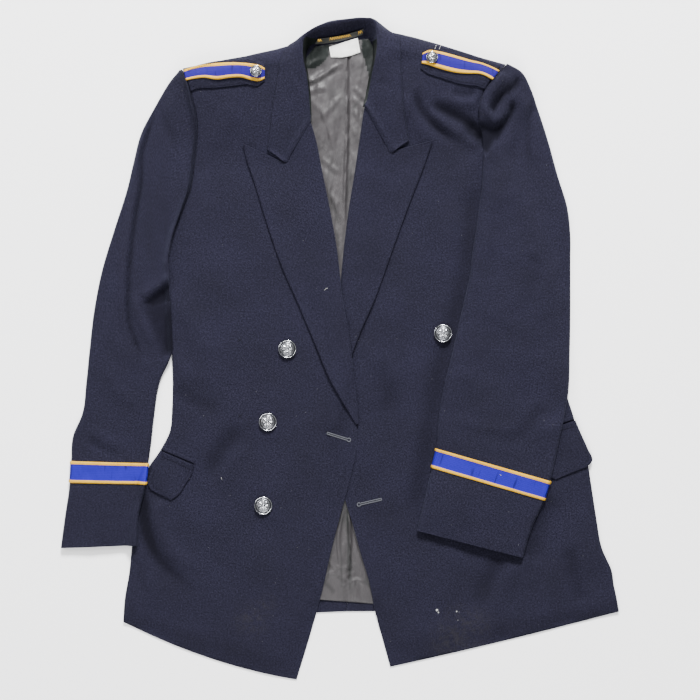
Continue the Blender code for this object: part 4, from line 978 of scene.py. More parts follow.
def makeLapel(side):
    look = lapels[side]
    rows = smoothRows(look["rows"], body["rowStep"])
    inner, outer = (np.array(lapelShape[k])[None, :, None] for k in ("inner", "outer"))
    ends = rows.reshape(len(rows), 3, 2)[:, None]
    line = np.concatenate([mix(ends[:, :, 0], ends[:, :, 1], inner),
                           mix(ends[:, :, 1], ends[:, :, 2], outer)], 1)
    x, y = line[..., 0], line[..., 1]
    run = runAcross(x, y)
    width = run[:, -1:]
    fromEdge = width - run
    rest = restOn(ground, x, y, slope=0.5, reach=16.0)
    roll = np.sin(math.pi * np.minimum(run / lapelShape["rollWidth"], 1.0))
    roll = lapelShape["roll"] * roll * np.minimum(width / lapelShape["rollFull"], 1.0)
    soft = creaseHeights(look["creases"], x, y)
    soft = soft + lapelShape["wave"] * ripple(x, y, lapelShape["waveSize"], 31)
    soft *= ease(fromEdge / 14.0) * ease(run / 6.0)
    lift = ease(1.0 - fromEdge / lapelShape["liftWidth"]) * ease(width / lapelShape["liftFull"])
    bottom = rest + np.maximum(roll + soft, 0.0) + lapelShape["lift"] * lift
    thick = mix(0.75, 1.0, rounded(run / 7.0)) * mix(0.8, 1.0, rounded(fromEdge / 4.0))
    top = bottom + lapelShape["thick"] * thick
    piece = sheetPiece(look["name"], x, y, top, bottom, [trimWool], look["grain"],
                       edge=0.7)
    stamp(ground, x, y, top)
    settlePiece(piece, look["node"])


for oneSide in ("left", "right"):
    makeFront(oneSide)
    makeLapel(oneSide)
print("fronts and lapels laid")

# collar: its stand round the neck, and the fall lying open on the fronts

collar = {
    # each row gives x and y of four points, from the stand's inner edge to the outer edge, then
    # how high the fold stands and 1 where the fall drops behind the neck
    "rows": [
        (-37.5, 301, -39, 301, -72, 247.5, -97, 265, 11, 0),
        (-38, 321, -41, 321, -70, 285, -94, 285, 17, 0),
        (-39, 338, -42, 338, -66, 321, -90, 318, 20, 0),
        (-42, 364, -45, 364, -63, 355, -85, 347, 25, 0),
        (-45, 382, -49, 384, -64, 379, -80, 375, 27, 0),
        (-44, 396, -50, 398, -63, 395, -76, 390, 28, 0),
        (-40, 404, -49, 410, -58, 408, -68, 403, 27, 0.3),
        (-31, 408, -37, 422, -43, 421, -49, 415, 25, 0.8),
        (-14, 412, -17, 430, -20, 433, -23, 434, 23, 1),
        (9, 419, 8, 435, 7, 438, 6, 440, 22, 1),
        (25, 422, 29, 437, 31, 440, 33, 441, 22, 1),
        (36, 418, 43, 436, 47, 437, 51, 436, 23, 1),
        (43, 409, 49, 423, 56, 426, 65, 423, 25, 0.6),
        (44, 399, 50, 404, 63, 411, 77, 412, 27, 0.2),
        (44, 386, 48, 387, 63, 388, 80, 390, 28, 0),
        (39, 363, 43, 363, 61, 362, 81, 359, 25, 0),
        (33, 331, 37, 331, 60, 326, 84, 322, 19, 0),
        (30, 320, 32.5, 320, 67.5, 260.5, 92, 276, 14, 0)],
    # across the cloth: between which two points of a row, how far along, and how high it rises
    "knots": [(0, 1, 0.0, 0.0), (0, 1, 0.4, 0.55), (0, 1, 0.75, 0.88), (0, 1, 1.0, 1.0),
              (1, 2, 0.4, 0.96), (1, 2, 0.8, 0.78), (2, 3, 0.0, 0.66), (2, 3, 0.5, 0.3),
              (2, 3, 0.85, 0.08), (2, 3, 1.0, 0.0)],
    "rowStep": 3.2, "flat": (0.085, 0.52), "area": 0.028, "standThick": 1.6, "thick": 3.0,
    "behind": 3.0, "wall": 7.0, "seamLength": 9.0, "seamDip": 0.4, "seamPlace": 5.9,
    "edgeShadowPlace": 8.35, "edgeShadow": 0.9, "facingPlace": 2.45, "facingBelow": 412.0,
    "creases": [
        ([(-62, 366), (-56, 352), (-49, 340)], -1.4, 4.0, 0.5, 0.2, 0.3),
        ([(-74, 372), (-66, 352), (-58, 330)], 0.9, 7.0, 0.4, 0.3, 0.3),
        ([(-70, 330), (-74, 305), (-80, 284)], 0.6, 9.0, 0.4, 0.3, 0.3),
        ([(50, 356), (58, 340), (66, 322)], -1.0, 5.0, 0.5, 0.3, 0.3),
        ([(66, 350), (70, 325), (74, 300)], 0.7, 8.0, 0.4, 0.3, 0.3)],
}


def makeCollar():
    rows = smoothRows(collar["rows"], collar["rowStep"], 4)
    ends = rows[:, :8].reshape(len(rows), 4, 2)
    line = np.stack([np.concatenate([mix(ends[:, a], ends[:, b], t),
                                     np.full((len(rows), 1), rise)], 1)
                     for a, b, t, rise in collar["knots"]], 1)
    at = np.arange(len(collar["knots"]), dtype=float)
    wanted = np.concatenate([np.linspace(0, 3, 13)[:-1], np.linspace(3, 9, 25)])
    line = np.moveaxis(curveThrough(np.moveaxis(line, 1, 0), at, wanted), 0, 1)
    x, y, rise = line[..., 0], line[..., 1], np.clip(line[..., 2], 0.0, 1.0)
    # place counts knots: the stand ends at 3, the outer edge is at 9
    place = np.broadcast_to(wanted[None, :], x.shape)
    rest = restOn(ground, x, y, slope=0.8, reach=8.0)
    under = np.maximum(rest, body["gap"])
    height, drop = rows[:, 8:9], np.clip(rows[:, 9:10], 0.0, 1.0)
    low = under + mix(collar["standThick"], collar["thick"], ease((place - 2.2) / 1.2))
    high = np.maximum(height, low)
    level = mix(low, high, rise)
    behind = mix(high, under + collar["behind"], (1.0 - rise) ** 0.7)
    level = np.where(place > 3.0, mix(level, behind, drop), level)
    soft = creaseHeights(collar["creases"], x, y) + 0.2 * ripple(x, y, 30.0, 41)
    end = np.minimum(np.arange(len(rows)), np.arange(len(rows))[::-1])[:, None]
    seam = 1.0 - ease(end * collar["rowStep"] / collar["seamLength"])
    seam = seam * (1.0 - ease((place - collar["seamPlace"]) / 0.6))
    top = np.maximum(level + soft * np.clip(rise * 1.6, 0.0, 1.0), low)
    top = mix(top, np.minimum(top, under + collar["seamDip"]), seam)
    bottom = np.maximum(under, top - collar["wall"])
    inner = ((place < collar["facingPlace"]) & (y < collar["facingBelow"])).astype(int)
    # painted shadow: a thin dark line along the collar's outer edge
    edgeShadow = collar["edgeShadow"] * ease((place - collar["edgeShadowPlace"]) / 0.6)
    piece = sheetPiece("collarFall", x, y, top, bottom, [trimWool, facingSatin], grain=12.0,
                       edge=0.8, pick=inner, paintedShade=edgeShadow)
    stamp(ground, x, y, top)
    settlePiece(piece, "collar")


makeCollar()
print("collar laid")


# flat patches: flaps, welts, straps, ribbons and labels

def patchGrid(rows, step, columns):
    shares = np.concatenate([[0.0, 0.02], np.linspace(0.06, 0.94, columns), [0.98, 1.0]])
    return (*planOf(smoothRows(rows, step), shares), shares)


patches = {
    # each row runs from one edge to the other: x, y, x, y
    "weltRight": {"node": "welt_right", "thick": 1.1, "puff": 0.3, "grain": 24.0,
                  "rests": "frontRight", "flat": None, "step": 1.2,
                  "rows": [(-236, -129, -193, -146.5), (-237, -134.5, -194, -152.5)]},
    "flapRight": {"node": "flap_right", "thick": 2.0, "puff": 1.2, "grain": 24.0,
                  "rests": "frontRight", "flat": (0.047, 0.060), "step": 2.4,
                  "rows": [(-237, -136, -194, -154), (-245, -149, -197, -166),
                           (-252, -164, -206, -181), (-256, -178, -214, -193),
                           (-251, -188, -225, -201)],
                  "extras": ["weltRight"]},
    "weltLeft": {"node": "welt_left", "thick": 1.1, "puff": 0.3, "grain": -18.0,
                 "rests": "frontLeft", "flat": None, "step": 1.2,
                 "rows": [(272, -101, 310, -88.5), (273, -106.5, 312, -93.5)]},
    "flapLeft": {"node": "flap_left", "thick": 2.0, "puff": 1.2, "grain": -18.0,
                 "rests": "frontLeft", "flat": (0.052, 0.070), "step": 2.4,
                 "rows": [(273, -108, 313, -95), (274, -129, 321, -113), (277, -153, 330, -133),
                          (279, -170, 336, -149), (288, -173, 328, -157)],
                 "extras": ["weltLeft"]},
}


def makePatch(name, look, surface, materials, columns=14, slope=0.3):
    x, y, shares = patchGrid(look["rows"], look["step"], columns)
    rest = restOn(surface, x, y, slope, reach=12.0)
    i = np.linspace(0.0, 1.0, len(x))[:, None]
    dome = np.sin(math.pi * i) ** 0.6 * np.sin(math.pi * shares)[None, :] ** 0.6
    bottom = rest + look["puff"] * dome * 0.6
    top = rest + look["thick"] + look["puff"] * dome
    piece = sheetPiece(name, x, y, top, bottom, materials, look["grain"], edge=0.6)
    stamp(surface, x, y, top)
    settlePiece(piece, look["node"])


for patchName, patchLook in patches.items():
    makePatch(patchName, patchLook, ground, [trimWool])
shoulderGround = ground.copy()
print("pocket flaps laid")

# sleeves: tubes pressed flat, the left one across the front

sleeves = {
    # each row gives x and y at the outer edge, then at the inner one
    "right": {
        "name": "sleeveRight", "node": "sleeve_right", "side": -1.0,
        "armhole": [(-210, 372)] + [row[:2] for row in frontRightRows[:9]],
        "rows": [(-229, 352, -228, 106), (-249, 318, -227, 98), (-265, 287, -227, 88),
                 (-275, 249, -226.5, 77), (-283, 215, -226, 66), (-301, 158, -225, 52),
                 (-317, 105, -224, 35), (-327, 55, -223, 17), (-334, -4, -224.5, -9),
                 (-338, -44, -240, -44), (-344, -88, -248, -94), (-356, -117, -251, -121),
                 (-358, -149, -255, -152), (-360, -178, -258, -180), (-367, -227, -268, -225),
                 (-372, -265, -269, -261)],
        "flat": (0.34, 0.64), "area": 0.145, "seed": 51, "slope": 1.6,
        "creases": [
            ([(-246, 330), (-256, 290), (-265, 257), (-267, 215), (-273, 181), (-279, 136),
              (-283, 92), (-280, 22), (-271, -2), (-267, -44)], -3.4, 3.4, 0.6, 0.12, 0.15),
            ([(-252, 318), (-264, 276), (-273, 230), (-281, 170), (-289, 110), (-289, 40),
              (-280, -4)], 2.0, 6.0, 0.1, 0.2, 0.2),
            ([(-226, 97), (-246, 84), (-266, 70)], 2.6, 6.5, 0.2, 0.1, 0.15),
            ([(-274, 76), (-270, 50), (-258, 22), (-246, -4)], 2.4, 7.0, 0.1, 0.2, 0.35),
            ([(-239, 322), (-231, 291), (-218, 262)], -1.3, 8.0, 0.4, 0.3, 0.3),
            ([(-222, 344), (-226, 312), (-214, 276)], 1.0, 8.0, 0.4, 0.3, 0.3),
            ([(-206, 282), (-208, 240), (-218, 200)], 1.0, 8.0, 0.3, 0.3, 0.3),
            ([(-339, -122), (-319, -134), (-290, -148)], -1.7, 5.0, 0.5, 0.15, 0.3),
            ([(-336, -108), (-310, -122), (-282, -134)], 1.2, 7.0, 0.2, 0.2, 0.3),
            ([(-306, 26), (-286, -6), (-254, -34)], 1.0, 10.0, 0.4, 0.3, 0.2),
            ([(-322, -20), (-300, -60), (-262, -84)], 1.1, 10.0, 0.4, 0.2, 0.3),
            ([(-300, 110), (-310, 50), (-318, -10)], 1.0, 9.0, 0.4, 0.3, 0.3),
            ([(-244, 160), (-240, 120), (-246, 84)], 1.2, 8.0, 0.3, 0.3, 0.2),
            ([(-320, -190), (-312, -222), (-318, -256)], 0.7, 12.0, 0.3, 0.3, 0.2)],
        "hollows": [([(-200, 96), (-232, 86), (-248, 74), (-264, 61), (-261, 42), (-249, 10),
                      (-238, -12), (-200, -20)], -4.5, 13.0),
                    ([(-200, 96), (-232, 85), (-248, 73), (-262, 61), (-250, 56), (-232, 62),
                      (-200, 64)], -3.2, 3.0),
                    ([(-200, 60), (-226, 60), (-236, 30), (-234, -6), (-200, -16)], -2.4, 7.0)]},
    "left": {
        "name": "sleeveLeft", "node": "sleeve_left", "side": 1.0,
        "armhole": [(221, 378), (206, 360), (192, 344), (183, 322), (184, 300)],
        "rows": [(242, 366, 189, 283), (253, 347, 190.5, 259), (263, 321, 189.5, 238),
                 (277, 278, 188, 214), (290, 231, 184, 185), (303, 188, 180, 156),
                 (307, 152, 176, 129), (307, 116, 173, 102), (307, 65, 165, 65),
                 (306, -1, 150, -1), (303, -61, 137, -55), (293, -110, 130, -100),
                 (279, -175, 128, -132), (271, -201, 122, -158), (254, -241, 108, -217),
                 (243, -277, 102, -241)],
        "flat": (0.33, 0.66), "area": 0.165, "seed": 61, "slope": 0.3,
        "creases": [
            ([(218, 366), (206, 350), (196, 335), (193, 322), (196, 308), (206, 303), (217, 311),
              (226, 324)], 3.4, 6.5, 0.0, 0.05, 0.15),
            ([(240, 362), (230, 348), (218, 338), (209, 329), (202, 318), (201, 311)],
             -4.8, 4.4, 0.0, 0.2, 0.1),
            ([(231, 328), (226, 312), (218, 298), (212, 288), (204, 274)], -4.4, 4.6, 0.0, 0.15,
             0.15),
            ([(246, 340), (240, 312), (230, 288), (216, 262)], 2.4, 8.0, 0.2, 0.2, 0.3),
            ([(254, 330), (249, 300), (248, 270), (251, 230)], -1.9, 5.0, 0.5, 0.15, 0.3),
            ([(262, 318), (258, 284), (260, 240)], 1.4, 8.0, 0.2, 0.2, 0.3),
            ([(246, 125), (256, 116), (267, 109)], -1.9, 2.6, 0.5, 0.2, 0.2),
            ([(248, 131), (262, 121), (274, 112)], 0.9, 5.0, 0.2, 0.2, 0.2),
            ([(206, 236), (198, 190), (192, 145), (184, 90)], 1.2, 10.0, 0.3, 0.2, 0.3),
            ([(184, 52), (226, 25), (272, 15)], 1.0, 13.0, 0.4, 0.2, 0.2),
            ([(293, 132), (268, 80), (255, 26)], 1.1, 12.0, 0.4, 0.2, 0.3),
            ([(215, 200), (222, 150), (214, 100)], 0.8, 12.0, 0.4, 0.3, 0.3),
            ([(142, -96), (186, -106), (239, -113)], 1.1, 8.0, 0.4, 0.2, 0.2),
            ([(270, -70), (244, -104), (222, -128)], -1.2, 10.0, 0.3, 0.2, 0.3),
            ([(150, -30), (182, -52), (220, -56)], 0.8, 12.0, 0.4, 0.2, 0.3),
            ([(150, -180), (156, -210), (150, -240)], 0.7, 12.0, 0.3, 0.2, 0.2)],
        "hollows": [([(180, 302), (192, 299), (203, 296), (213, 300), (219, 298), (212, 287),
                      (204, 272), (196, 258), (180, 262)], -6.0, 5.0)]},
}
sleeveShape = {"height": 8.2, "puff": 1.4, "columns": 46, "even": 0.55, "ringStep": 4.6,
               "wall": 3.0, "hollow": 3.0, "walls": 2.6, "least": 2.2, "near": 46.0,
               "strength": 1.5, "wave": 0.8, "waveSize": 62.0, "fine": 0.26, "fineSize": 21.0,
               "seamDip": 1.0, "seamWidth": 2.6, "paintedShade": 6.5, "seamShade": 0.7}


def moveOut(line, distance, side):
    ahead = np.gradient(line, axis=0)
    normal = np.stack([ahead[:, 1], -ahead[:, 0]], -1)
    normal /= np.linalg.norm(normal, axis=1, keepdims=True)
    normal *= np.where(normal[:, :1] * side < 0, -1.0, 1.0)
    return line + normal * distance


def aroundTube(upper, lower):
    # one ring for each row: over the upper side and back along the lower one
    return np.concatenate([upper, lower[:, -2:0:-1]], 1)


def sleevePlan(look, shares):
    # rings from the armhole to the cuff, close together at both ends
    first = moveOut(lineAt(smoothLine(look["armhole"], 6.0), shares), 0.5, look["side"])
    rings = [first.ravel()]
    for outerX, outerY, innerX, innerY in look["rows"]:
        rings.append(np.stack([mix(outerX, innerX, shares), mix(outerY, innerY, shares)],
                              -1).ravel())
    rings = np.array(rings)
    mean = np.hypot(*np.moveaxis(np.diff(rings, axis=0).reshape(len(rings) - 1, -1, 2), 2, 0))
    at = np.concatenate([[0.0], np.cumsum(mean.mean(axis=1))])
    wanted = np.concatenate([[0.0, 1.2, 2.8], np.arange(5.5, at[-1] - 3.0, sleeveShape["ringStep"]),
                             [at[-1] - 2.0, at[-1] - 0.6, at[-1]]])
    return curveThrough(rings, at, wanted).reshape(len(wanted), -1, 2), wanted, at


def sleeveFaces(rings, count):
    # an outer and an inner tube, joined at the armhole and at the cuff
    inside, last = rings * count, (rings - 1) * count
    start = np.arange(rings - 1)[:, None] * count
    a = (start + np.arange(count)[None, :]).ravel()
    b = (start + (np.arange(count)[None, :] + 1) % count).ravel()
    quads = np.stack([a, b, b + count, a + count], -1)
    faces = quads.tolist() + (quads[:, ::-1] + inside).tolist()
    for j in range(count):
        k = (j + 1) % count
        faces.append((k, j, inside + j, inside + k))
        faces.append((last + j, last + k, inside + last + k, inside + last + j))
    return faces


def makeSleeve(side):
    look = sleeves[side]
    shares = 0.5 - 0.5 * np.cos(np.linspace(0.0, math.pi, sleeveShape["columns"]))
    shares = mix(shares, np.linspace(0.0, 1.0, sleeveShape["columns"]), sleeveShape["even"])
    plan, wanted, at = sleevePlan(look, shares)
    x, y = plan[..., 0], plan[..., 1]
    run = runAcross(x, y)
    width = run[:, -1:]
    fromEdge = np.minimum(run, width - run)
    fromArmhole = wanted[:, None]
    rest = restOn(ground, x, y, look["slope"], reach=26.0)
    rest = np.where(fromArmhole < 2.0, 0.0, rest) if side == "right" else rest
    creased = creaseHeights(look["creases"], x, y, sleeveShape["strength"])
    sunken = insideHeights(look["hollows"], x, y) * ease(fromArmhole / 6.0)
    wave = ripple(x, y, sleeveShape["waveSize"], look["seed"], stretch=(1.0, 1.6))
    soft = (creased + sleeveShape["wave"] * wave
            + sleeveShape["fine"] * ripple(x, y, sleeveShape["fineSize"], look["seed"] + 1))
    soft *= ease(fromEdge / 9.0 + 0.2) * ease(fromArmhole / 12.0 + 0.15)
    base = rest + sleeveShape["height"]
    near = ease(1.0 - fromArmhole / sleeveShape["near"])
    height = np.maximum(base, mix(base, bodyTop(y) + 0.6, near)) + soft + sunken
    height -= sleeveShape["seamDip"] * np.exp(-(fromArmhole / sleeveShape["seamWidth"]) ** 2)
    height = np.maximum(height, rest + sleeveShape["least"])
    half = (height - rest) / 2.0
    middle = rest + half
    curve = rounded(fromEdge / np.minimum(half, sleeveShape["height"] / 2.0))
    top = middle + half * curve + sleeveShape["puff"] * np.sin(math.pi * run / width)
    bottom = middle - half * curve
    ring = aroundTube(np.stack([x, y, top], -1), np.stack([x, y, bottom], -1))
    wall = sleeveShape["wall"]
    inset = wall + (width - 2 * wall) * run / width
    innerX, innerY, innerTop, innerBottom = (
        np.array([np.interp(inset[k], run[k], v[k]) for k in range(len(x))])
        for v in (x, y, top, bottom))
    room = innerTop - innerBottom - sleeveShape["walls"]
    hollow = np.clip(np.minimum(sleeveShape["hollow"], room), 0.25, None) / 2.0
    hollow *= mix(0.2, 1.0, rounded((np.minimum(inset, width - inset) - wall) / wall))
    centre = (innerTop + innerBottom) / 2.0
    inner = aroundTube(np.stack([innerX, innerY, centre + hollow], -1),
                       np.stack([innerX, innerY, centre - hollow], -1))
    count = ring.shape[1]
    points = np.concatenate([ring.reshape(-1, 3), inner.reshape(-1, 3)])
    faces = sleeveFaces(len(x), count)
    spot = count * 5 + 10
    if np.cross(points[spot + 1] - points[spot], points[spot + count] - points[spot])[2] < 0:
        faces = [face[::-1] for face in faces]
    worn = np.maximum(np.exp(-fromEdge / 4.0), np.exp(-(wanted[-1] - fromArmhole) / 5.0))
    # painted shade: dark in the creases and hollows, and a soft painted shadow along the armhole
    # seam
    shade = (-(creased + sunken) / sleeveShape["paintedShade"]
             + sleeveShape["seamShade"] * np.exp(-(fromArmhole / 4.5) ** 2))
    worn = mix(worn, -1.0, np.clip(shade, 0.0, 1.0))
    wearAndShade = aroundTube(worn, worn).ravel()
    cut = np.stack([run, np.broadcast_to(fromArmhole, x.shape)], -1)
    uv = aroundTube(cut, cut).reshape(-1, 2)
    piece = makeMesh(look["name"], points, faces, np.concatenate([uv, uv]),
                     np.concatenate([wearAndShade, wearAndShade]), [sleeveWool])
    stamp(ground, x, y, top)
    settlePiece(piece, look["node"])
    return {"at": at, "wanted": wanted, "ring": ring, "top": len(shares)}


made = {side: makeSleeve(side) for side in ("right", "left")}
print("sleeves laid")

# cuff braid: a blue band between gold cords, over the upper side of each sleeve

cuffBraid = {"lift": 0.25, "thick": 0.9, "cord": 0.85, "cordShare": 0.155, "wrap": 3, "steps": 29,
             "rings": (13, 14), "lowest": 0.5,
             "right": {"name": "cuffBraidRight", "node": "cuff_braid_right",
                       "flat": (0.112, 0.031), "rests": "sleeveRight"},
             "left": {"name": "cuffBraidLeft", "node": "cuff_braid_left",
                      "flat": (0.165, 0.030), "rests": "sleeveLeft"}}


def makeCuffBraid(side):
    look, sleeve = cuffBraid[side], made[side]
    first, last = (sleeve["at"][k] for k in cuffBraid["rings"])
    steps = np.linspace(first, last, cuffBraid["steps"])
    ring = curveThrough(sleeve["ring"], sleeve["wanted"], steps)
    chosen = np.arange(-cuffBraid["wrap"], sleeve["top"] + cuffBraid["wrap"]) % ring.shape[1]
    ring = ring[:, chosen]
    along, around = np.gradient(ring, axis=0), np.gradient(ring, axis=1)
    normal = np.cross(around, along)
    normal /= np.linalg.norm(normal, axis=2, keepdims=True)
    normal *= np.sign(normal[:, normal.shape[1] // 2, 2].mean())
    share = np.linspace(0.0, 1.0, len(steps))
    border = np.minimum(share, 1.0 - share) / cuffBraid["cordShare"]
    thick = cuffBraid["thick"] + cuffBraid["cord"] * cordShape(border)
    upper = ring + normal * (cuffBraid["lift"] + thick)[:, None, None]
    lower = ring + normal * cuffBraid["lift"] * 0.4
    upper[..., 2] = np.maximum(upper[..., 2], cuffBraid["lowest"])
    lower[..., 2] = np.maximum(lower[..., 2], cuffBraid["lowest"] - 0.4)
    rows, columns = ring.shape[:2]
    points = np.concatenate([upper.reshape(-1, 3), lower.reshape(-1, 3)])
    quads, under = gridQuads(rows, columns), rows * columns
    faces = quads.tolist() + (quads[:, ::-1] + under).tolist()
    gold = (np.maximum(border[:-1], border[1:]) <= 1.0 + 1e-6)
    faceMaterial = 2 * np.repeat(gold, columns - 1).astype(int).tolist()
    rim = [i * columns + j for i, j in rimOf(rows, columns)]
    for one, two in zip(rim, rim[1:] + rim[:1]):
        faces.append((two, one, under + one, under + two))
        faceMaterial.append(int(gold[min(one // columns, rows - 2)]))
    if np.cross(around[2, columns // 2], along[2, columns // 2])[2] < 0:
        faces = [face[::-1] for face in faces]
    run = np.concatenate([np.zeros((rows, 1)), np.cumsum(np.linalg.norm(
        np.diff(ring, axis=1), axis=2), axis=1)], 1)
    uv = np.stack([run, np.broadcast_to(steps[:, None], run.shape)], -1).reshape(-1, 2)
    piece = makeMesh(look["name"], points, faces, np.concatenate([uv, uv]),
                     np.zeros(len(points)), [blueBraid, goldBraid], faceMaterial)
    stamp(ground, upper[..., 0], upper[..., 1], upper[..., 2])
    settlePiece(piece, look["node"])


makeCuffBraid("right")
makeCuffBraid("left")
print("cuff braid laid")

# shoulder straps with their ribbon

straps = {
    "strapRight": {"node": "strap_right", "rests": "frontRight", "thick": 1.7, "puff": 0.8,
                   "grain": 4.0, "step": 2.6, "flat": (0.030, 0.109), "rows": [
                       (-204.8, 370.2, -197.8, 341), (-189.9, 375.6, -186.9, 344.2),
                       (-163.2, 381.7, -163.2, 345.2), (-144.4, 383, -144.4, 347.2),
                       (-126.6, 384.5, -122.6, 349.8), (-110.7, 383, -109.7, 347.9),
                       (-99.3, 376.1, -100.3, 354.3)]},
    "strapLeft": {"node": "strap_left", "rests": "frontLeft", "thick": 1.7, "puff": 0.8,
                  "grain": -14.0, "step": 2.6, "flat": (0.032, 0.107), "rows": [
                      (212, 375.1, 192.2, 343.4), (201.1, 379.7, 180.8, 347.4),
                      (186.7, 385.5, 169, 348.3), (172.1, 390.7, 157.3, 350.5),
                      (157.3, 395.8, 142.7, 354.9), (142.7, 399.4, 128.1, 359.9),
                      (126.6, 402.3, 115.9, 363.7), (113, 397.9, 106.5, 371.2)]},
}
ribbons = {
    "ribbonRight": {
        "node": "ribbon_right", "rests": "strapRight", "flat": (0.019, 0.106),
        "rows": [
            (-206.7, 369.1, -203.2, 354.5), (-193, 373.5, -192.2, 356.7),
            (-178.3, 376.5, -179, 357.9), (-162.2, 378.1, -162.2, 355.7),
            (-146.2, 378.9, -146.2, 357.9), (-130, 378.3, -130, 358.5),
            (-115.5, 376.5, -116.2, 355), (-105.2, 374.3, -105.9, 354.1),
            (-99, 370.7, -99.6, 357)]},
    "ribbonLeft": {
        "node": "ribbon_left", "rests": "strapLeft", "flat": (0.019, 0.105),
        "rows": [
            (211.2, 368.1, 201.3, 355.1), (201.3, 373, 192.5, 360.3), (188.1, 378.2, 183.6, 363.1),
            (173.5, 381.7, 169, 363.4), (158.9, 386, 155.2, 364.4), (144.2, 390.2, 140.6, 367.5),
            (129.6, 393.6, 126.6, 371.7), (117.1, 394.8, 115, 375.6), (109.1, 390.7, 107.9, 377)]},
}
ribbonShape = {"thick": 0.7, "cord": 0.8, "share": 0.17, "step": 2.2, "columns": 27}


def makeRibbon(name, look):
    rows = smoothRows(look["rows"], ribbonShape["step"])
    shares = np.linspace(0.0, 1.0, ribbonShape["columns"])
    x, y = planOf(rows, shares)
    rest = restOn(shoulderGround, x, y, slope=0.9, reach=6.0)
    border = np.minimum(shares, 1.0 - shares) / ribbonShape["share"]
    top = rest + ribbonShape["thick"] + ribbonShape["cord"] * cordShape(border)[None, :]
    # a cell takes its colour from its outer side, which is the next column past the middle
    gold = border <= 1.0
    gold = np.where(np.arange(len(shares)) < len(shares) // 2, gold, np.roll(gold, -1))
    pick = np.broadcast_to(gold.astype(int)[None, :], x.shape)
    piece = sheetPiece(name, x, y, top, rest, [blueRibbon, goldBraid], edge=0.3,
                       pick=pick)
    stamp(shoulderGround, x, y, top)
    settlePiece(piece, look["node"])


for strapName, strapLook in straps.items():
    makePatch(strapName, strapLook, shoulderGround, [trimWool], columns=12, slope=0.9)
for ribbonName, ribbonLook in ribbons.items():
    makeRibbon(ribbonName, ribbonLook)
print("straps laid")

# labels at the neck: a dark one, which the gold zigzags below are sewn on, and a white one

labels = {
    "neckLabel": {"node": "brand_label", "slot": "label_dark", "thick": 0.5, "step": 1.6,
                  "flat": (0.010, 0.066), "rows": [
                      (-33, 404.5, -29.5, 411), (0, 410, 2, 416.5), (30, 418, 31.5, 424.5)]},
    "careLabel": {"node": "care_label", "slot": "label_white", "thick": 0.5, "step": 1.6,
                  "flat": (0.018, 0.040), "rows": [
                      (-14.5, 402, -12, 388.5), (5, 408.5, 8, 389), (23.5, 414.5, 27, 395)]},
}


def makeLabel(name, look, material):
    x, y = planOf(smoothRows(look["rows"], look["step"]), np.linspace(0.0, 1.0, 15))
    rest = restOn(ground, x, y, slope=1.2, reach=8.0) + 0.25 * (1 + ripple(x, y, 9.0, 71))
    piece = sheetPiece(name, x, y, rest + look["thick"], rest, [material], grain=17.0,
                       edge=0.2)
    stamp(ground, x, y, rest + look["thick"])
    settlePiece(piece, look["node"])


makeLabel("careLabel", labels["careLabel"], labelWhite)
makeLabel("neckLabel", labels["neckLabel"], labelBlack)
print("labels laid")

# buttons: rimmed, domed shells with a plain petalled rosette

buttons = {
    "sides": 72, "rings": 30, "top": 5.5, "fall": 2.1, "face": 0.84, "sunk": 0.25, "full": 24.0,
    # the rosette: its places and widths as shares of the radius, its heights at full size
    "petals": 8, "petalFrom": 0.17, "petalTo": 0.66, "petalHigh": 0.75, "veinWidth": 0.16,
    "bossTo": 0.15, "bossHigh": 0.8, "ropeAt": 0.70, "ropeWidth": 0.032, "ropeHigh": 0.45,
    "ropeTurns": 36.0, "grooveAt": 0.76,
    # the rim and the shell behind it: share of the radius and height
    "rim": [(0.87, 2.75), (0.90, 3.45), (0.94, 3.6), (0.98, 3.35), (1.0, 2.7), (0.985, 2.1),
            (0.93, 1.7), (0.55, 1.2), (0.27, 0.95), (0.26, 0.0)],
    "places": [("buttonOne", "button_1", -70, 0, 24.0), ("buttonTwo", "button_2", -96, -97, 24.0),
               ("buttonThree", "button_3", -102, -208, 24.0),
               ("buttonFour", "button_4", 137, 21, 24.0),
               ("strapButtonRight", "strap_button_right", -110.8, 366.6, 15.0),
               ("strapButtonLeft", "strap_button_left", 121.4, 384.6, 15.0)],
}


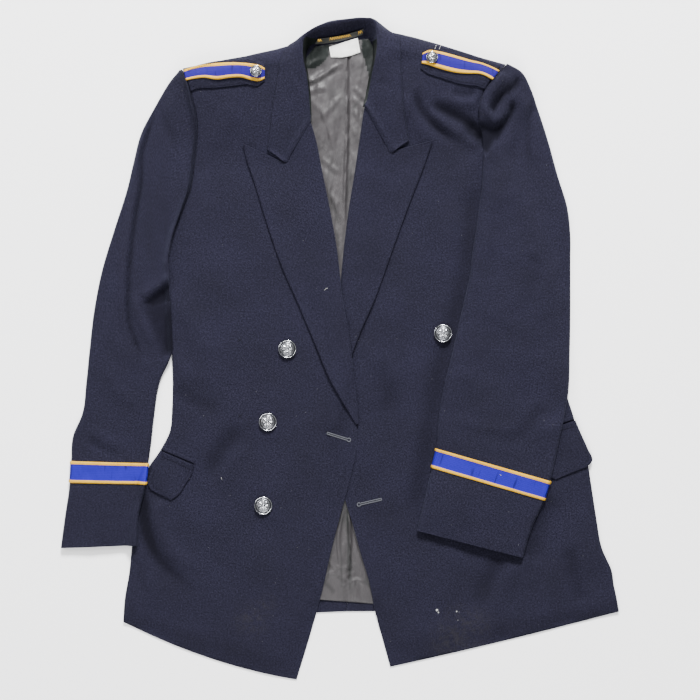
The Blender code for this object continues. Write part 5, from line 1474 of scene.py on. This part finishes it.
def makeButton(name, node, x, y, size):
    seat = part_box(node)[0].z / metres
    radius = size / 2.0
    sides, rings, petals = buttons["sides"], buttons["rings"], buttons["petals"]
    turn = np.linspace(0.0, 2.0 * math.pi, sides, endpoint=False)
    share = np.linspace(0.0, buttons["face"], rings)
    dome = (buttons["top"] - buttons["fall"] * (share / buttons["face"]) ** 2
            - 0.5 * ease((share - buttons["grooveAt"]) / 0.05))
    s, t = share[:, None], turn[None, :]
    leaf = np.abs(np.cos(petals / 2.0 * t)) ** 0.7
    petal = (ease((leaf * buttons["petalTo"] - s) / 0.10)
             * ease((s - buttons["petalFrom"]) / 0.08))
    vein = (np.exp(-(np.sin(petals / 2.0 * t) / buttons["veinWidth"]) ** 2)
            * ease((s - 0.2) / 0.1))
    boss = ease((buttons["bossTo"] - s) / 0.05)
    rope = (np.exp(-((s - buttons["ropeAt"]) / buttons["ropeWidth"]) ** 2)
            * (0.6 + 0.4 * np.cos(t * buttons["ropeTurns"])))
    relief = (buttons["petalHigh"] * petal * (1.0 - 0.5 * vein) + buttons["bossHigh"] * boss
              + buttons["ropeHigh"] * rope)
    z = dome[:, None] + relief - buttons["sunk"]
    outerShare, outerZ = np.array(buttons["rim"]).T
    allShare = np.concatenate([share[1:], outerShare])
    allZ = np.concatenate([z[1:], np.repeat(outerZ[:, None], sides, 1)])
    px = x + radius * allShare[:, None] * np.cos(t)
    py = y + radius * allShare[:, None] * np.sin(t)
    points = np.concatenate([[[x, y, z[0].mean()]], np.stack([px, py, allZ], -1).reshape(-1, 3),
                             [[x, y, 0.0]]])
    points[:, 2] = seat + points[:, 2] * (size / buttons["full"])
    faces = []
    last = 1 + (len(allShare) - 1) * sides
    for k in range(sides):
        n = (k + 1) % sides
        faces.append((0, 1 + k, 1 + n))
        for a in range(1, last, sides):
            faces.append((a + k, a + sides + k, a + sides + n, a + n))
        faces.append((last + k, len(points) - 1, last + n))
    # painted shade darkens the hollows between the petals and the groove inside the rim
    deep = 1.0 - np.clip(petal + boss + rope * 0.8, 0.0, 1.0)
    deep = deep * (0.85 - 0.5 * ease((s - 0.7) / 0.1))
    deep = np.clip(deep + 0.7 * petal * vein + ease((s - 0.755) / 0.03), 0.0, 1.0)
    wearAndShade = np.concatenate([[0.0], deep[1:].ravel(), np.zeros(len(outerShare) * sides), [0.0]])
    wearAndShade[1 + (rings - 1) * sides:1 + rings * sides] = 1.0
    piece = makeMesh(name, points, faces, points[:, :2] - (x, y), wearAndShade, [buttonChrome])
    settlePiece(piece, node)


for place in buttons["places"]:
    makeButton(*place)
print("buttons sewn on")

# stitches: one Geometry Nodes tree lays thread along a line

def buildStitchTree():
    tree = bpy.data.node_groups.new("stitchRun", "GeometryNodeTree")
    kinds = [("Line", "NodeSocketGeometry", None), ("Spacing", "NodeSocketFloat", 0.002),
             ("Stitch Length", "NodeSocketFloat", 0.0015), ("Thread", "NodeSocketFloat", 0.0003),
             ("Across", "NodeSocketFloat", 0.0), ("Uneven", "NodeSocketFloat", 0.1),
             ("Seed", "NodeSocketInt", 7), ("Finish", "NodeSocketMaterial", None)]
    for label, kind, value in kinds:
        socket = tree.interface.new_socket(name=label, in_out="INPUT", socket_type=kind)
        if value is not None:
            socket.default_value = value
    tree.interface.new_socket(name="Stitches", in_out="OUTPUT", socket_type="NodeSocketGeometry")
    add, link = tree.nodes.new, tree.links.new
    given, out = add("NodeGroupInput").outputs, add("NodeGroupOutput").inputs
    curve, spots, shape = (add("GeometryNode" + kind) for kind in
                           ("MeshToCurve", "CurveToPoints", "MeshCylinder"))
    spots.mode = "LENGTH"
    link(given["Line"], curve.inputs[0])
    link(curve.outputs[0], spots.inputs["Curve"])
    link(given["Spacing"], spots.inputs["Length"])
    shape.inputs["Vertices"].default_value = 6
    link(given["Thread"], shape.inputs["Radius"])
    link(given["Stitch Length"], shape.inputs["Depth"])
    sideways = add("ShaderNodeVectorMath")
    sideways.operation = "CROSS_PRODUCT"
    link(spots.outputs["Tangent"], sideways.inputs[0])
    sideways.inputs[1].default_value = (0.0, 0.0, 1.0)
    blend = add("ShaderNodeMix")
    blend.data_type = "VECTOR"
    link(given["Across"], blend.inputs[0])
    link(spots.outputs["Tangent"], blend.inputs[4])
    link(sideways.outputs[0], blend.inputs[5])
    chance = add("FunctionNodeRandomValue")
    chance.data_type = "FLOAT_VECTOR"
    chance.inputs[0].default_value = (-1.0, -1.0, -0.3)
    chance.inputs[1].default_value = (1.0, 1.0, 0.3)
    link(given["Seed"], chance.inputs["Seed"])
    jitter = add("ShaderNodeVectorMath")
    jitter.operation = "SCALE"
    link(chance.outputs[0], jitter.inputs[0])
    link(given["Uneven"], jitter.inputs["Scale"])
    aim = add("ShaderNodeVectorMath")
    link(blend.outputs[1], aim.inputs[0])
    link(jitter.outputs[0], aim.inputs[1])
    turn = add("FunctionNodeAlignRotationToVector")
    turn.axis = "Z"
    link(aim.outputs[0], turn.inputs["Vector"])
    scatter, whole, finish = (add("GeometryNode" + kind) for kind in
                              ("InstanceOnPoints", "RealizeInstances", "SetMaterial"))
    link(spots.outputs["Points"], scatter.inputs["Points"])
    link(shape.outputs["Mesh"], scatter.inputs["Instance"])
    link(turn.outputs[0], scatter.inputs["Rotation"])
    link(scatter.outputs[0], whole.inputs[0])
    link(whole.outputs[0], finish.inputs["Geometry"])
    link(given["Finish"], finish.inputs["Material"])
    link(finish.outputs[0], out[0])
    return tree


stitchRun = buildStitchTree()


def stitchPiece(name, lines, surface, finish, spacing, length, thread, across=0.0,
                uneven=0.12, lift=0.0):
    # lines are plan points in millimetres; the thread lies on what is under them
    points, edges = [], []
    high = bridged(surface, 3.0, 0.0)
    for line in lines:
        line = np.array(line, float)
        z = sample(high, line[:, 0], line[:, 1]) + lift
        start = len(points)
        points += [tuple(p) for p in np.column_stack([line, z]) * metres]
        edges += [(start + k, start + k + 1) for k in range(len(line) - 1)]
    mesh = bpy.data.meshes.new(name + "Path")
    mesh.from_pydata(points, edges, [])
    holder = addObject(name + "Path", mesh)
    modifier = holder.modifiers.new("stitches", "NODES")
    modifier.node_group = stitchRun
    values = {"Spacing": spacing * metres, "Stitch Length": length * metres,
              "Thread": thread * metres, "Across": across, "Uneven": uneven, "Seed": 7,
              "Finish": finish}
    for socket in stitchRun.interface.items_tree:
        if socket.in_out == "INPUT" and socket.name in values:
            modifier[socket.identifier] = values[socket.name]
    bpy.context.view_layer.update()
    evaluated = holder.evaluated_get(bpy.context.evaluated_depsgraph_get())
    done = bpy.data.meshes.new_from_object(evaluated)
    bpy.data.objects.remove(holder)
    done.name = name
    done.shade_smooth()
    if not done.materials:
        done.materials.append(finish)
    piece = addObject(name, done)
    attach(piece, "root")


def ringOf(rows, inset):
    # a closed line inside the outline of a patch's rows
    rows = smoothRows(rows, 2.0)
    a, b = rows[:, :2], rows[:, 2:4]
    centre = (a + b).mean(axis=0) / 2
    one, two = a[1:-1], b[1:-1][::-1]
    line = np.concatenate([one, two, one[:1]])
    towards = centre - line
    across = (b - a)[len(a) // 2]
    across = across / np.linalg.norm(across)
    along = np.array([-across[1], across[0]])
    return line + np.outer(np.sign(towards @ across), across) * inset + np.outer(
        np.clip(towards @ along / 20.0, -1, 1), along) * inset


buttonholes = {
    "right": {"from": (-17, -112), "to": (14, -121.5)},
    "left": {"from": (55, -200), "to": (23, -207.5)},
    "halfWidth": 1.15, "eyeSize": 2.3,
}


def holeLine(start, end, half, eye):
    # up one side of the slit, round its eye and down the other side
    start, end = np.array(start, float), np.array(end, float)
    length = np.linalg.norm(end - start)
    ahead = (end - start) / length
    side = np.array([-ahead[1], ahead[0]])
    straight = np.linspace(0.0, length - eye * 1.6, 16)
    points = [start + ahead * t + side * half for t in straight]
    for turn in np.linspace(2.4, -2.4, 12):
        points.append(start + ahead * (length - eye + eye * math.cos(turn))
                      + side * eye * math.sin(turn))
    points += [start + ahead * t - side * half for t in straight[::-1]]
    return np.array(points + points[:1])


holes = [holeLine(buttonholes[side]["from"], buttonholes[side]["to"],
                  buttonholes["halfWidth"], buttonholes["eyeSize"]) for side in ("right", "left")]
flapRings = [ringOf(patches[k]["rows"], 4.5) for k in ("flapRight", "flapLeft")]
strapRings = [ringOf(straps[k]["rows"], 3.0) for k in ("strapRight", "strapLeft")]
labelRing = ringOf(labels["careLabel"]["rows"], 1.0)
# each zigzag: its two ends and how many steps it has
zigzags = [((-29.5, 408.6), (-24.5, 409.5), 4), ((-14, 411.2), (14, 416.9), 18),
           ((24, 419.6), (29.5, 421.1), 4)]
tacks = [[(125.8, 397.4), (127.0, 400.8)], [(131.6, 397.2), (133.0, 400.6)]]
crossMarks = [[(-135, 13.5), (-131.5, 10.5)], [(-135, 10.5), (-132, 13)],
              [(-134.5, -87.5), (-131.5, -90.5)], [(-134.5, -90), (-132, -88)]]
fibres = [[(-20.5, 78.2), (-18.6, 80.2), (-16.8, 80.6)], [(-158, -171), (-157, -173.4)],
          [(212, -166.4), (213.6, -167.4)]]


def zigzagLine(start, end, steps):
    sides = [1 if i % 2 else -1 for i in range(steps + 1)]
    return [(mix(start[0], end[0], i / steps) - 0.5 * k, mix(start[1], end[1], i / steps) + 1.5 * k)
            for i, k in enumerate(sides)]


stitchPiece("buttonholeGimp", holes, ground, greyThread, 0.42, 1.5, 0.22, across=1.0,
            lift=0.12)
stitchPiece("buttonholeCord", holes, ground, greyThread, 0.5, 0.8, 0.26, lift=0.22,
            uneven=0.03)
stitchPiece("flapStitches", flapRings, shoulderGround, navyThread, 3.2, 2.2, 0.20,
            lift=-0.05)
stitchPiece("strapStitches", strapRings, shoulderGround, navyThread, 3.0, 2.1, 0.20,
            lift=-0.05)
stitchPiece("labelStitches", [labelRing], ground, whiteThread, 2.0, 1.3, 0.16,
            lift=0.05)
stitchPiece("labelTrim", [zigzagLine(*one) for one in zigzags], ground, goldThread,
            0.6, 1.0, 0.2, lift=0.15)
stitchPiece("strapTacks", tacks, shoulderGround, whiteThread, 2.6, 2.4, 0.3,
            lift=0.3, uneven=0.0)
stitchPiece("threadMarks", crossMarks, ground, navyThread, 1.6, 2.6, 0.3, uneven=0.2)
stitchPiece("looseFibres", fibres, ground, whiteThread, 0.9, 1.1, 0.18, lift=0.1)
print("stitches laid")

# floor, light and camera

stage = {"floor": 6.0, "under": 0.0002, "tone": (0.92, 0.92, 0.93), "sky": 0.4,
         "lens": 85.0, "sensor": 36.0, "frame": 0.931, "centre": (0.0133, -0.0013),
         "clothTop": 0.008,
         # each lamp: its place and size in metres, and its power in watts
         "lamps": {"keyLight": ((0.3, 3.1, 2.35), 1.0, 600.0),
                   "sideLight": ((-2.2, 1.2, 2.6), 1.6, 90.0),
                   "fillLight": ((0.0, -2.4, 2.8), 2.2, 150.0)}}


def makeFloor():
    half = stage["floor"] / 2
    mesh = bpy.data.meshes.new("floor")
    mesh.from_pydata([(-half, -half, 0), (half, -half, 0), (half, half, 0), (-half, half, 0)], [],
                     [(0, 1, 2, 3)])
    material = bpy.data.materials.new("paleFloor")
    material.use_nodes = True
    shader = material.node_tree.nodes["Principled BSDF"]
    shader.inputs["Base Color"].default_value = (*stage["tone"], 1.0)
    shader.inputs["Roughness"].default_value = 0.9
    mesh.materials.append(material)
    floor = addObject("floor", mesh)
    floor.location.z = -stage["under"]


def makeLight():
    world = bpy.data.worlds.new("studio")
    world.use_nodes = True
    world.node_tree.nodes["Background"].inputs[0].default_value = (1.0, 1.0, 1.0, 1.0)
    world.node_tree.nodes["Background"].inputs[1].default_value = stage["sky"]
    bpy.context.scene.world = world
    for name, (place, size, power) in stage["lamps"].items():
        data = bpy.data.lights.new(name, "AREA")
        data.size = size
        data.energy = power
        lamp = addObject(name, data)
        lamp.location = place
        lamp.rotation_euler = (-Vector(place)).to_track_quat("-Z", "Y").to_euler()


def makeCamera():
    # straight down, from where the frame's width fills the picture
    data = bpy.data.cameras.new("camera")
    data.lens = stage["lens"]
    data.sensor_width = stage["sensor"]
    camera = addObject("camera", data)
    distance = stage["frame"] * stage["lens"] / stage["sensor"]
    camera.location = (*stage["centre"], distance + stage["clothTop"])
    bpy.context.scene.camera = camera


makeFloor()
makeLight()
makeCamera()
print("scene ready")
